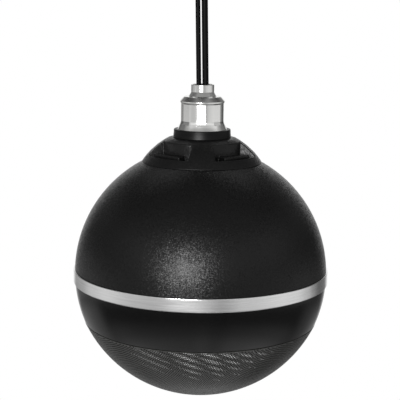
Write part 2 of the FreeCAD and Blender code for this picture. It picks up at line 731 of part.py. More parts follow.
def cone():
    """Straight-sided paper cone with a flat edge on the surround."""
    edge = FLANGE_FOOT
    inner_edge = CONE_EDGE_R - SURROUND_LIP
    neck = FORMER_R + CORD_FIT
    return turned(
        (CONE_EDGE_R, edge), (CONE_EDGE_R, edge + PAPER), (inner_edge, edge + PAPER),
        (neck, CONE_NECK_HEIGHT + PAPER), (neck, CONE_NECK_HEIGHT), (inner_edge, edge))


def dust_cap():
    """Shallow dome glued over the cone's neck."""
    edge = FLANGE_FOOT
    inner_edge = CONE_EDGE_R - SURROUND_LIP
    share = (DUST_CAP_R - FORMER_R) / (inner_edge - FORMER_R)
    seat = CONE_NECK_HEIGHT + share * (edge - CONE_NECK_HEIGHT)
    radius = (DUST_CAP_R ** 2 + DUST_CAP_DEPTH ** 2) / (2 * DUST_CAP_DEPTH)
    centre = seat - DUST_CAP_DEPTH + radius
    inner = radius - PAPER
    return turned(
        (0, centre - inner), (0, centre - radius), around(radius, centre, centre - radius, seat),
        (ball_width(seat, inner, centre), seat), around(inner, centre, seat, centre - inner))


def voice_coil_former():
    top = FRAME_TOP + TOP_PLATE_THICK + WINDING_LENGTH / 2
    return tube(FORMER_R, COIL_R, CONE_NECK_HEIGHT, top)


def voice_coil_winding():
    middle = FRAME_TOP + TOP_PLATE_THICK / 2
    return tube(WINDING_R, FORMER_R + CORD_FIT / 5, middle - WINDING_LENGTH / 2, middle + WINDING_LENGTH / 2)


def spider():
    """Pleated disc that centres the coil, with a flat seat under the frame's ledge."""
    top = SPIDER_SEAT
    outer = LEDGE_R - SEAT_GAP
    flat = NECK_R + SEAT_GAP
    step = (flat - FORMER_R - CORD_FIT) / (2 * SPIDER_WAVES)
    pleats = []
    for index in range(1, 2 * SPIDER_WAVES):
        swing = SPIDER_WAVE if index % 2 else -SPIDER_WAVE
        pleats.append((flat - index * step, top - SPIDER_WAVE / 2 + swing / 2))
    pleats.append((flat - 2 * SPIDER_WAVES * step, top - SPIDER_WAVE))
    under = [(radius, height - SPIDER_SHEET) for radius, height in reversed(pleats)]
    return turned((flat, top), *pleats, *under, (flat, top - SPIDER_SHEET),
                  (outer, top - SPIDER_SHEET), (outer, top))


def top_plate():
    return tube(TOP_PLATE_R, GAP_R, FRAME_TOP, MAGNET_FOOT)


def magnet_ring():
    return tube(MAGNET_R, MAGNET_BORE_R, MAGNET_FOOT, BACK_FOOT)


def pole_yoke():
    return rod(TOP_PLATE_R, BACK_FOOT, BACK_FOOT + BACK_PLATE_THICK).fuse(
        rod(POLE_R, FRAME_TOP, BACK_FOOT)).removeSplitter()


# Ceiling fitting, whose heights are counted from the ceiling


def ceiling_cup():
    """Round cup with a soft lower corner and a hole for the cord grip."""
    inner = CUP_R - CUP_WALL
    corner = CUP_CORNER - CUP_WALL
    bend = CUP_CORNER * (1 - math.sqrt(0.5))
    hole = GRIP_THREAD_R + SLIP
    inset = CUP_WALL + corner * (1 - math.sqrt(0.5))
    return turned(
        (hole, CUP_FLOOR), (CUP_R - CUP_CORNER, CUP_FLOOR),
        ((CUP_R - bend, CUP_FLOOR + bend), (CUP_R, CUP_FLOOR + CUP_CORNER)), (CUP_R, 0),
        (inner, 0), (inner, CUP_FLOOR + CUP_CORNER),
        ((CUP_R - inset, CUP_FLOOR + inset), (CUP_R - CUP_CORNER, CUP_FLOOR + CUP_WALL)),
        (hole, CUP_FLOOR + CUP_WALL))


def ceiling_bracket():
    """Joggled strap: two feet on the ceiling and a bridge below that carries the wire."""
    half = BRIDGE_LENGTH / 2
    foot_end = (FOOT_PITCH + FOOT_LENGTH) / 2
    low, sheet = BRIDGE_TOP, BRACKET_SHEET
    outline = [(-foot_end, 0), (-half, 0), (-half, low), (half, low), (half, 0), (foot_end, 0),
               (foot_end, -sheet), (half + sheet, -sheet), (half + sheet, low - sheet),
               (-half - sheet, low - sheet), (-half - sheet, -sheet), (-foot_end, -sheet)]
    points = [Vector(x, -BRACKET_WIDTH / 2, z) for x, z in outline]
    strap = Part.Face(Part.makePolygon(points + points[:1])).extrude(NORTH * BRACKET_WIDTH)
    for side in (-1, 1):
        strap = strap.cut(rod(MOUNT_HOLE_R, -sheet, 0, side * FOOT_PITCH / 2))
    return strap.cut(cord_length_of(WIRE_ROUTE, WIRE_R + CORD_FIT, low - 2 * sheet, low + sheet))


def cup_grip():
    foot = CUP_FLOOR - GRIP_DROP
    top = CUP_FLOOR + CUP_WALL + GRIP_NUT_THICK
    return tube(GRIP_R, GRIP_BORE_R, foot, CUP_FLOOR).fuse(
        tube(GRIP_THREAD_R, GRIP_BORE_R, -CUP_HEIGHT, top)).removeSplitter()


def cup_grip_nut():
    foot = CUP_FLOOR + CUP_WALL
    return hexagon(GRIP_NUT_FLATS, foot, foot + GRIP_NUT_THICK).cut(
        rod(GRIP_THREAD_R + SLIP, foot, foot + GRIP_NUT_THICK))


def cup_grip_insert():
    return without_cords(rod(GRIP_BORE_R - SLIP, CUP_FLOOR - GRIP_DROP, CUP_FLOOR + CUP_WALL))


def ceiling_terminal():
    """Terminal block under the bridge, beside the wire, that takes the cable from below."""
    width, depth = CEILING_BLOCK
    entry, _, foot = CABLE_ROUTE[0]
    side = CABLE_R + SEAT_GAP
    return block(width, depth, foot + SLIP, BRIDGE_FOOT, entry - side + width / 2)


# Cords


def suspension_wire():
    """Sheathed steel wire, one straight run from stop to stop."""
    (_, _, top), (_, _, foot) = WIRE_ROUTE
    return cord_length_of(WIRE_ROUTE, WIRE_R, foot, top)


def speaker_cable():
    """Two-core cable, straight down from the cup and turned aside to the ball's terminal."""
    return routed([Vector(*point) for point in CABLE_ROUTE], CABLE_R)


# Modelled about the ball's centre, then moved to its place
BALL_PIECES = (
    upper_shell, lower_shell, shell_screws, trim_band, grille, vent_cap, collar_ring,
    gland_body, gland_ring, gland_nipple, gland_locknut, hanger_plate, transformer_core,
    transformer_bobbin, transformer_strap, driver_terminal, driver_leads, damping_lining,
    baffle_ring, driver_basket, driver_screws, driver_gasket, surround, cone, dust_cap,
    voice_coil_former, voice_coil_winding, spider, top_plate, magnet_ring, pole_yoke)
# Modelled in place
PLACED_PIECES = (
    gland_seal, load_washer, wire_stop, input_terminal, suspension_wire, speaker_cable,
    ceiling_cup, ceiling_bracket, cup_grip, cup_grip_nut, cup_grip_insert, ceiling_terminal,
    ceiling_wire_stop)


def main():
    os.makedirs("parts", exist_ok=True)
    for make in BALL_PIECES + PLACED_PIECES:
        shape = make()
        if isinstance(shape, list):
            shape = Part.makeCompound(shape)
        if make in BALL_PIECES:
            shape = placed(shape)
        shape.exportStep("parts/%s.step" % make.__name__)
        print("%s: %d solids, %.0f mm3, valid %s"
              % (make.__name__, len(shape.Solids), shape.Volume, shape.isValid()))


main()
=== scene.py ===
"""Dresses a pendant ball speaker: shells, waist band, punched grille, ribbed cap, metal gland, cords and
ceiling fitting. Blender works in metres, and the sizes here are in millimetres. Heights of the ball and of
what hangs with it are counted from the ball's centre, and those of the ceiling fitting from the ceiling.
"""

import logging
import math
from dataclasses import dataclass, field
from enum import Enum
from typing import Any, Optional, Sequence

import bmesh
import bpy
from mathutils import Matrix, Vector


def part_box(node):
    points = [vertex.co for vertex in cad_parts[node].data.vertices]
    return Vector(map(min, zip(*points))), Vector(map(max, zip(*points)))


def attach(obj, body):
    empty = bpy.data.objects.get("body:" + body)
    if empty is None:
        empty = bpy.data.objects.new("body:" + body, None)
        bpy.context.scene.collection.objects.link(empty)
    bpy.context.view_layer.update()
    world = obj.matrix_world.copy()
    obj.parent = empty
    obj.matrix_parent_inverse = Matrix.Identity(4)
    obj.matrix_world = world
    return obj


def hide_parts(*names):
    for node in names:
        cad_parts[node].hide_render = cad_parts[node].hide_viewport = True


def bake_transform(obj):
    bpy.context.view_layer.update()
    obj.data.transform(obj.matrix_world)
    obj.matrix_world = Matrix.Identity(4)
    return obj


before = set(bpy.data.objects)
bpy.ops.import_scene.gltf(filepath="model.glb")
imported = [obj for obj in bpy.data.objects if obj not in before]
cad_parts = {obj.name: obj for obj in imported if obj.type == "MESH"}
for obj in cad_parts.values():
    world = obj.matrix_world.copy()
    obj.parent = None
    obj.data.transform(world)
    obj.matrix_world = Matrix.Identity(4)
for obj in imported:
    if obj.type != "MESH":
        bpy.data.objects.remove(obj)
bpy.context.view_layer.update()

LOG = logging.getLogger("speaker")
MM = 0.001
HOUSING = "housing"
PHOTO_WIDTH = 400
SENSOR_MM = 36.0
# A ring of points this many rounds' lengths from a corner keeps the faces beside its round flat.
KEEP_FLAT = 1.3
# Edges that bend by more stay sharp, unless a piece says otherwise.
SHARP_DEGREES = 35.0

Outline = list[tuple[float, float]]
Levels = tuple[tuple[float, float], ...]
Spot = tuple[float, float, float]


# Materials


class Pattern(Enum):
    """How a surface's fine marks lie."""

    GRAIN = "grain"
    TURNED = "turned"
    BRUSHED = "brushed"
    WEAVE = "weave"
    FIBRE = "fibre"


# How much finer noise each pattern has on its own, how rough that is, and how far fibres and threads bend.
NOISE_DETAIL = {Pattern.GRAIN: 1.5, Pattern.TURNED: 2.0, Pattern.BRUSHED: 2.0, Pattern.FIBRE: 4.0}
NOISE_ROUGHNESS = 0.6
FIBRE_BEND = 1.5
THREAD_BEND = 0.4
# The wave texture's own scale at which two threads fill one unit.
THREAD_SCALE = 0.5
# A pattern's height lies mostly between these, so tone and gloss change from the one to the other.
MARK_LOW, MARK_HIGH = 0.3, 0.7
# A quarter turn from the lines' own way, so that the gloss stretches across them.
ACROSS_LINES = 0.25


def linear(hex_colour: str) -> tuple[float, float, float, float]:
    """Turns an sRGB hex colour to linear light.

    Args:
        hex_colour: Six hex digits, with or without a leading mark.

    Returns:
        Red, green, blue and alpha, from 0 to 1.
    """
    digits = hex_colour.lstrip("#")
    parts = [int(digits[at:at + 2], 16) / 255 for at in (0, 2, 4)]
    return (*[p / 12.92 if p <= 0.04045 else ((p + 0.055) / 1.055) ** 2.4 for p in parts], 1.0)


def add_node(tree: bpy.types.NodeTree, kind: str, settings: Optional[dict[str, Any]] = None,
             links: Optional[dict[Any, bpy.types.NodeSocket]] = None) -> bpy.types.Node:
    """Adds a node, sets its properties and input values, and links sockets into it.

    Args:
        tree: The node tree to add to.
        kind: The node's type name.
        settings: Property names, or input names or numbers, with their values.
        links: Input names or numbers, with the output socket that feeds each.

    Returns:
        The new node.
    """
    node = tree.nodes.new(kind)
    for key, value in (settings or {}).items():
        if isinstance(key, str) and hasattr(node, key):
            setattr(node, key, value)
        else:
            node.inputs[key].default_value = value
    for key, socket in (links or {}).items():
        tree.links.new(socket, node.inputs[key])
    return node


@dataclass(frozen=True)
class Finish:
    """One surface: what it is made of, and the fine marks that its making left.

    mark_mm is the marks' width, run_mm their length along a brushed or turned line, and lift_mm how far
    they stand out. Two colours give the tone's range. A grain of facets also leans each facet its own
    way, by up to half of lean. axis_x is the place, in metres, of the axis that turned and brushed lines go
    round.
    """

    name: str
    light: str
    dark: str
    roughness: float
    metallic: float = 0.0
    ior: float = 1.5
    sheen: float = 0.0
    anisotropic: float = 0.0
    specular: float = 0.5
    pattern: Pattern = Pattern.GRAIN
    mark_mm: float = 0.6
    run_mm: float = 25.0
    lift_mm: float = 0.02
    rough_swing: float = 0.06
    facet_mm: float = 0.0
    lean: float = 0.0
    axis_x: float = 0.0

    def coordinates(self, tree: bpy.types.NodeTree) -> bpy.types.NodeSocket:
        """Builds the coordinates that the marks are drawn in, one unit per mark.

        Args:
            tree: The material's node tree.

        Returns:
            A vector socket.
        """
        place = add_node(tree, "ShaderNodeTexCoord").outputs["Object"]
        per_mark = 1 / (self.mark_mm * MM)
        if self.pattern in (Pattern.TURNED, Pattern.BRUSHED):
            from_axis = add_node(tree, "ShaderNodeVectorMath",
                                 {"operation": "SUBTRACT", 1: (self.axis_x, 0, 0)}, {0: place}).outputs[0]
            parts = add_node(tree, "ShaderNodeSeparateXYZ", links={0: from_axis}).outputs
            turn = add_node(tree, "ShaderNodeMath", {"operation": "ARCTAN2"}, {0: parts[1], 1: parts[0]})
            flat = add_node(tree, "ShaderNodeCombineXYZ", links={0: parts[0], 1: parts[1]})
            reach = add_node(tree, "ShaderNodeVectorMath", {"operation": "LENGTH"}, {0: flat.outputs[0]})
            along = add_node(tree, "ShaderNodeMath", {"operation": "MULTIPLY"},
                             {0: turn.outputs[0], 1: reach.outputs["Value"]})
            lines = add_node(tree, "ShaderNodeCombineXYZ",
                             links={0: along.outputs[0], 1: reach.outputs["Value"], 2: parts[2]})
            scale = (1 / (self.run_mm * MM), per_mark, per_mark)
            return add_node(tree, "ShaderNodeVectorMath", {"operation": "MULTIPLY", 1: scale},
                            {0: lines.outputs[0]}).outputs[0]
        return add_node(tree, "ShaderNodeVectorMath", {"operation": "MULTIPLY", 1: (per_mark,) * 3},
                        {0: place}).outputs[0]

    def marks(self, tree: bpy.types.NodeTree) -> bpy.types.NodeSocket:
        """Builds the pattern's height, from 0 to 1.

        Args:
            tree: The material's node tree.

        Returns:
            A value socket.
        """
        where = self.coordinates(tree)
        if self.pattern == Pattern.WEAVE:
            waves = [add_node(tree, "ShaderNodeTexWave",
                              {"bands_direction": way, "Scale": THREAD_SCALE, "Distortion": THREAD_BEND},
                              {"Vector": where}).outputs["Fac"] for way in ("X", "Y")]
            return add_node(tree, "ShaderNodeMath", {"operation": "MULTIPLY"},
                            {0: waves[0], 1: waves[1]}).outputs[0]
        bend = FIBRE_BEND if self.pattern == Pattern.FIBRE else 0.0
        return add_node(tree, "ShaderNodeTexNoise",
                        {"Scale": 1.0, "Detail": NOISE_DETAIL[self.pattern], "Roughness": NOISE_ROUGHNESS,
                         "Distortion": bend}, {"Vector": where}).outputs["Fac"]

    def facets(self, tree: bpy.types.NodeTree, normal: bpy.types.NodeSocket) -> bpy.types.NodeSocket:
        """Leans each small facet of an eroded surface its own way, so that it glitters.

        Args:
            tree: The material's node tree.
            normal: The surface's own direction.

        Returns:
            A vector socket.
        """
        place = add_node(tree, "ShaderNodeTexCoord").outputs["Object"]
        cells = add_node(tree, "ShaderNodeTexVoronoi", {"Scale": 1 / (self.facet_mm * MM)}, {"Vector": place})
        # Each facet has a colour of its own, from 0 to 1, which is moved to either side of no lean.
        lean = add_node(tree, "ShaderNodeVectorMath",
                        {"operation": "MULTIPLY_ADD", 1: (self.lean,) * 3, 2: (-self.lean / 2,) * 3},
                        {0: cells.outputs["Color"]})
        leant = add_node(tree, "ShaderNodeVectorMath", {"operation": "ADD"}, {0: normal, 1: lean.outputs[0]})
        return add_node(tree, "ShaderNodeVectorMath", {"operation": "NORMALIZE"},
                        {0: leant.outputs[0]}).outputs[0]

    def material(self) -> bpy.types.Material:
        """Builds the material, once for each finish.

        Returns:
            The Blender material.
        """
        made = bpy.data.materials.get(self.name)
        if made is not None:
            return made
        made = bpy.data.materials.new(self.name)
        made.use_nodes = True
        tree = made.node_tree
        tree.nodes.clear()
        marks = self.marks(tree)
        tone = add_node(tree, "ShaderNodeValToRGB", links={0: marks})
        for stop, place, colour in zip(tone.color_ramp.elements, (MARK_LOW, MARK_HIGH),
                                       (self.dark, self.light)):
            stop.position, stop.color = place, linear(colour)
        rough = add_node(tree, "ShaderNodeMapRange",
                         {"From Min": MARK_LOW, "From Max": MARK_HIGH,
                          "To Min": self.roughness - self.rough_swing,
                          "To Max": self.roughness + self.rough_swing}, {"Value": marks})
        normal = add_node(tree, "ShaderNodeBump", {"Distance": self.lift_mm * MM},
                          {"Height": marks}).outputs[0]
        if self.lean:
            normal = self.facets(tree, normal)
        settings = {"Metallic": self.metallic, "IOR": self.ior, "Sheen Weight": self.sheen,
                    "Specular IOR Level": self.specular, "Anisotropic": self.anisotropic,
                    "Anisotropic Rotation": ACROSS_LINES if self.anisotropic else 0.0}
        links = {"Base Color": tone.outputs[0], "Roughness": rough.outputs[0], "Normal": normal}
        if self.anisotropic:
            links["Tangent"] = add_node(tree, "ShaderNodeTangent",
                                        {"direction_type": "RADIAL", "axis": "Z"}).outputs[0]
        shader = add_node(tree, "ShaderNodeBsdfPrincipled", settings, links)
        add_node(tree, "ShaderNodeOutputMaterial", links={"Surface": shader.outputs[0]})
        return made


# The place of the ball's upright axis, from left to right.
BALL_AXIS = (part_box("trim_band")[0].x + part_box("trim_band")[1].x) / 2

# ABS moulded in a spark-eroded tool: a highlight that breaks up into glitter. The real grain is about
# 0.3 mm wide. Its tone is drawn at 0.9 mm and its facets at 0.5 mm, because finer ones don't show.
TEXTURED_ABS = Finish("black_abs_spark_eroded", "#0d0d0d", "#080808", 0.31, ior=1.53, specular=0.18,
                      mark_mm=0.9, lift_mm=0.05, facet_mm=0.5, lean=0.235)
# The same ABS from a smoother part of the mould: an even dark satin.
SATIN_ABS = Finish("black_abs_satin", "#070707", "#050505", 0.2, ior=1.53, specular=0.38, mark_mm=0.5,
                   lift_mm=0.004)
# ABS from a finely eroded mould: nearly matt, with a faint sparkle. Its grain of 0.3 mm is drawn at 1 mm.
CAP_ABS = Finish("black_abs_cap", "#0d0d0d", "#090909", 0.36, ior=1.53, specular=0.22, mark_mm=0.9,
                 lift_mm=0.03, facet_mm=1.0, lean=0.16)
# Acetal bar, turned: black, with fine tool lines that draw the light into a soft upright bar.
COLLAR_ACETAL = Finish("black_acetal_turned", "#0b0b0b", "#070707", 0.36, ior=1.48, specular=0.15,
                       pattern=Pattern.TURNED, mark_mm=0.35, run_mm=30, lift_mm=0.002, axis_x=BALL_AXIS)
# Rolled aluminium strip, brushed along its length and clear anodised: fine level lines that run and stop.
# Real ones are about 0.1 mm wide and are drawn at 0.45 mm, so that they show.
BRUSHED_ALUMINIUM = Finish("brushed_aluminium", "#ececec", "#d8d8d8", 0.19, metallic=1.0, anisotropic=0.6,
                           pattern=Pattern.BRUSHED, mark_mm=0.45, run_mm=22, lift_mm=0.006, rough_swing=0.03,
                           axis_x=BALL_AXIS)
# Turned brass, satin nickel plated: a soft mirror with faint tool lines round the axis.
SATIN_NICKEL = Finish("satin_nickel", "#e6e6e4", "#dededc", 0.18, metallic=1.0, anisotropic=0.35,
                      pattern=Pattern.TURNED, mark_mm=0.3, run_mm=60, lift_mm=0.0005, rough_swing=0.004,
                      axis_x=BALL_AXIS)
# Punched steel sheet, powder coated in dark grey: a slight orange peel.
POWDER_COAT = Finish("powder_coated_steel", "#2b2b29", "#232322", 0.3, mark_mm=0.8, lift_mm=0.01)
# The walls of the punched holes, where little light falls, are painted nearly black: painted shade for the
# shadow inside the holes.
HOLE_WALL_PAINTED_SHADE = Finish("hole_walls_painted_shade", "#0a0a0a", "#060606", 0.6, specular=0.2, mark_mm=0.4,
                      lift_mm=0.01)
# PVC, extruded: a dull black skin with a slow ripple from the die, and almost no glint.
PVC_SHEATH = Finish("black_pvc_sheath", "#0a0a0a", "#060606", 0.5, ior=1.54, specular=0.05, mark_mm=1.2,
                    lift_mm=0.004)
# Rubber, moulded: dark grey and dull, as if dusted.
BLACK_RUBBER = Finish("black_moulded_rubber", "#161616", "#101010", 0.62, ior=1.52, mark_mm=0.5, lift_mm=0.01)
# Butyl rubber sheet, pressed hot: a smooth dark roll with a soft broad sheen.
BUTYL_RUBBER = Finish("butyl_rubber_roll", "#1a1a1a", "#131313", 0.55, ior=1.52, mark_mm=0.4, lift_mm=0.008)
# Paper pulp, felted on a form and dyed: matt, with short tangled fibres.
PAPER_PULP = Finish("pressed_paper_pulp", "#242424", "#161616", 0.85, pattern=Pattern.FIBRE, mark_mm=1.2,
                    lift_mm=0.05)
# Pressed steel, dipped in black coating: half matt, with a slight orange peel.
BLACK_COAT = Finish("black_coated_steel", "#1c1c1c", "#151515", 0.45, mark_mm=0.8, lift_mm=0.01)
# Steel, zinc plated: bluish metal with the plating's faint clouds.
ZINC_PLATE = Finish("zinc_plated_steel", "#b9bdc2", "#9fa4aa", 0.38, metallic=1.0, mark_mm=2.5, lift_mm=0.004)
# Steel screws, blackened in oil: dark metal with a small soft glint.
BLACKENED_STEEL = Finish("blackened_steel", "#3a3a3c", "#2a2a2c", 0.42, metallic=1.0, mark_mm=0.6,
                         lift_mm=0.005)
# Aluminium sleeve, crimped: pale metal with the press's small dents.
BARE_ALUMINIUM = Finish("crimped_aluminium", "#c9c9ca", "#aeaeb0", 0.36, metallic=1.0, mark_mm=0.5,
                        lift_mm=0.02)
# Ferrite, pressed and sintered: charcoal grey, like dull stone.
FERRITE = Finish("sintered_ferrite", "#38383a", "#2c2c2e", 0.6, mark_mm=0.5, lift_mm=0.02)
# Nylon, moulded: waxy off-white.
NYLON = Finish("moulded_nylon", "#d9d6cc", "#cbc8bd", 0.45, ior=1.53, mark_mm=0.8, lift_mm=0.005)
# Paper board, bonded with phenolic resin: brown, with pale fibres under the gloss.
PHENOLIC = Finish("phenolic_board", "#7a4a24", "#633a1b", 0.5, ior=1.6, pattern=Pattern.FIBRE, mark_mm=0.8,
                  lift_mm=0.01)
# Iron sheets, stacked and dipped in varnish: dark metal, blotched where the varnish ran.
IRON_LAMINATION = Finish("varnished_lamination", "#55555a", "#3c3c40", 0.45, metallic=0.8, mark_mm=0.5,
                         lift_mm=0.03)
# Winding, wrapped in polyester tape: amber, with the tape's small folds.
TAPED_WINDING = Finish("taped_winding", "#d8b04a", "#c19a37", 0.5, pattern=Pattern.FIBRE, mark_mm=1.5,
                       lift_mm=0.03)
# Copper wire, enamelled and wound turn by turn: red-brown metal with fine lines round the axis.
COPPER_WIRE = Finish("enamelled_copper_wire", "#b5673a", "#8f4a26", 0.3, metallic=1.0, pattern=Pattern.TURNED,
                     mark_mm=0.3, run_mm=60, lift_mm=0.05, axis_x=BALL_AXIS)
# Aluminium foil, rolled: light plain metal.
ALUMINIUM_FOIL = Finish("rolled_aluminium_foil", "#c6c6c8", "#b4b4b6", 0.35, metallic=1.0, mark_mm=0.8,
                        lift_mm=0.004)
# Cotton cloth, dipped in resin and pressed hot: honey brown, with its threads standing out.
DIPPED_COTTON = Finish("resin_dipped_cotton", "#b0803c", "#8a6028", 0.8, pattern=Pattern.WEAVE, mark_mm=0.5,
                       lift_mm=0.08)
# Polyester wadding, carded: off-white fluff with a pale edge.
WADDING = Finish("polyester_wadding", "#d5d3cc", "#b4b2aa", 0.95, sheen=0.3, pattern=Pattern.FIBRE,
                 mark_mm=3.0, lift_mm=0.6)
# Fibre board, punched: dark and matt, with short fibres.
FIBRE_BOARD = Finish("fibre_board", "#2a2826", "#1c1b19", 0.85, pattern=Pattern.FIBRE, mark_mm=0.8,
                     lift_mm=0.03)
# PVC lead, extruded: dark red with a smooth gloss.
RED_PVC = Finish("red_pvc_lead", "#7d1a16", "#6d1512", 0.35, ior=1.54, mark_mm=1.0, lift_mm=0.004)


# Making meshes


def object_from(mesh: bpy.types.Mesh, name: str) -> bpy.types.Object:
    """Links a new object for a mesh.

    Args:
        mesh: The finished mesh.
        name: The piece's name.

    Returns:
        The object.
    """
    piece = bpy.data.objects.new(name, mesh)
    bpy.context.scene.collection.objects.link(piece)
    return piece


def dress(piece: bpy.types.Object, finish: Finish, node: str = "", body: str = HOUSING) -> bpy.types.Object:
    """Gives a new piece its finish and body, and lets it stand for a node.

    Args:
        piece: The object, in place.
        finish: Its surface.
        node: The CAD node that it stands for, if any.
        body: The body that it moves with, or empty where it bends between two.

    Returns:
        The same object.
    """
    piece.data.materials.clear()
    piece.data.materials.append(finish.material())
    if body:
        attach(piece, body)
    if node:
        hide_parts(node)
    LOG.info("%s: %s, rides %s, stands for %s", piece.name, finish.name, body or "two bodies",
             node or "nothing")
    return piece


def arc(radius: float, centre: float, start: float, end: float, steps: int) -> Outline:
    """Points on a sphere's outline between two heights.

    Args:
        radius: The sphere's radius.
        centre: The height of its centre.
        start: The first height.
        end: The last height.
        steps: How many stretches to make.

    Returns:
        Radius and height of each point.
    """
    first, last = (math.asin(max(-1.0, min(1.0, (height - centre) / radius))) for height in (start, end))
    turns = [first + (last - first) * step / steps for step in range(steps + 1)]
    return [(radius * math.cos(turn), centre + radius * math.sin(turn)) for turn in turns]


def eased(points: Sequence[tuple[float, ...]], steps: int = 4) -> Outline:
    """Rounds the corners of a closed outline.

    Args:
        points: Radius, height and, where the corner is rounded, the length that the round takes of each
            side.
        steps: How many stretches a round has.

    Returns:
        The outline's points.
    """
    made: Outline = []
    count = len(points)
    for at, point in enumerate(points):
        here = Vector(point[:2])
        if len(point) < 3:
            made.append((here.x, here.y))
            continue
        before, after = (Vector(points[(at + way) % count][:2]) for way in (-1, 1))
        back, on = ((side - here).normalized() * point[2] for side in (before, after))
        start, end = here + back, here + on
        curve = [start.lerp(here, step / steps).lerp(here.lerp(end, step / steps), step / steps)
                 for step in range(steps + 1)]
        made += [(spot.x, spot.y) for spot in (here + back * KEEP_FLAT, *curve, here + on * KEEP_FLAT)]
    return made


def join_rings(shape: bmesh.types.BMesh, rings: Sequence[Sequence[bmesh.types.BMVert]]) -> None:
    """Joins rings of points into a closed skin, and the last ring to the first.

    Args:
        shape: The working mesh.
        rings: The rings, which have the same number of points.
    """
    for ring, after in zip(rings, [*rings[1:], rings[0]]):
        for at in range(len(ring)):
            beside = (at + 1) % len(ring)
            shape.faces.new((ring[at], ring[beside], after[beside], after[at]))


def finished(shape: bmesh.types.BMesh, name: str, sharp_degrees: float = SHARP_DEGREES) -> bpy.types.Object:
    """Turns a working mesh into an object, with smooth faces and sharp edges where it bends.

    Args:
        shape: The working mesh, which is used up.
        name: The piece's name.
        sharp_degrees: Edges that bend by more stay sharp.

    Returns:
        The object.
    """
    bmesh.ops.recalc_face_normals(shape, faces=shape.faces)
    mesh = bpy.data.meshes.new(name)
    shape.to_mesh(mesh)
    shape.free()
    mesh.shade_smooth()
    mesh.set_sharp_from_angle(angle=math.radians(sharp_degrees))
    return object_from(mesh, name)


@dataclass
class Turning:
    """Makes turned pieces about one upright axis."""

    axis: Vector
    steps: int = 192

    def spot(self, radius: float, turn: float, height: float) -> Spot:
        """Place in metres of a point given about the axis in millimetres."""
        return (self.axis.x + radius * math.cos(turn) * MM, self.axis.y + radius * math.sin(turn) * MM,
                self.axis.z + height * MM)

    def piece(self, name: str, outline: Outline) -> bpy.types.Object:
        """Turns a closed outline about the axis.

        Args:
            name: The piece's name.
            outline: Radius and height of each point, in order.

        Returns:
            The object.
        """
        shape = bmesh.new()
        turns = [2 * math.pi * at / self.steps for at in range(self.steps)]
        join_rings(shape, [[shape.verts.new(self.spot(radius, turn, height)) for turn in turns]
                           for radius, height in outline])
        return finished(shape, name)


# The object's sub-assemblies


@dataclass
class Camera:
    """The photograph's viewpoint, in front of the ball and above it. What it clips is in metres."""

    distance: float = 900.0
    rise: float = 220.7
    pitch: float = 10.27
    yaw: float = -0.07
    roll: float = 0.66
    focal_px: float = 1155.2
    clip: tuple[float, float] = (0.05, 50.0)

    def build(self, ball: Vector) -> None:
        """Places the camera.

        Args:
            ball: The ball's centre, in metres.
        """
        data = bpy.data.cameras.new("photo_view")
        data.sensor_width = SENSOR_MM
        data.lens = self.focal_px / PHOTO_WIDTH * SENSOR_MM
        data.clip_start, data.clip_end = self.clip
        camera = bpy.data.objects.new("photo_view", data)
        bpy.context.scene.collection.objects.link(camera)
        pitch, yaw, roll = (math.radians(turn) for turn in (self.pitch, self.yaw, self.roll))
        forward = Vector((math.sin(yaw) * math.cos(pitch), math.cos(yaw) * math.cos(pitch), -math.sin(pitch)))
        right = Vector((math.cos(yaw), -math.sin(yaw), 0))
        up = right.cross(forward)
        level = Matrix((right * math.cos(roll) + up * math.sin(roll),
                        up * math.cos(roll) - right * math.sin(roll), -forward)).transposed()
        place = ball + Vector((0, -self.distance, self.rise)) * MM
        camera.matrix_world = Matrix.Translation(place) @ level.to_4x4()
        bpy.context.scene.camera = camera


@dataclass
class Cords:
    """The steel wire and the cable, each taut from the ceiling fitting into the ball.

    The routes are in metres, from the ball up. The long straight runs have one point more, about six
    diameters over the gland, and the cable one before its turn.
    """

    wire_radius: float = 1.9
    wire_route: tuple[Spot, ...] = (
        (0.0008, 0.0, -0.1971), (-0.00158, 0.0, -0.0888), (-0.0034, 0.0, -0.0059))
    cable_radius: float = 2.45
    cable_route: tuple[Spot, ...] = (
        (0.00626, 0.024, -0.207), (0.00626, 0.0, -0.207), (0.00573, 0.0, -0.183), (0.0024, 0.0, -0.0312))

    def strand(self, name: str, radius: float, route: Sequence[Spot]) -> bpy.types.Object:
        """Makes a round cord along a smooth spline.

        Args:
            name: The piece's name.
            radius: The cord's radius.
            route: The spline's control points.

        Returns:
            The curve object.
        """
        curve = bpy.data.curves.new(name, "CURVE")
        curve.dimensions = "3D"
        spline = curve.splines.new("NURBS")
        spline.points.add(len(route) - 1)
        for point, place in zip(spline.points, route):
            point.co = (*place, 1.0)
        spline.order_u = 3
        spline.use_endpoint_u = True
        spline.resolution_u = 16
        curve.bevel_depth = radius * MM
        curve.bevel_resolution = 8
        curve.use_fill_caps = True
        cord = bpy.data.objects.new(name, curve)
        bpy.context.scene.collection.objects.link(cord)
        return cord

    def build(self) -> None:
        """Makes both cords, in place of the wire's and the cable's CAD nodes."""
        wire = dress(self.strand("sheathed_wire", self.wire_radius, self.wire_route), PVC_SHEATH,
                     "suspension_wire")
        cable = dress(self.strand("two_core_cable", self.cable_radius, self.cable_route), PVC_SHEATH,
                      "speaker_cable")


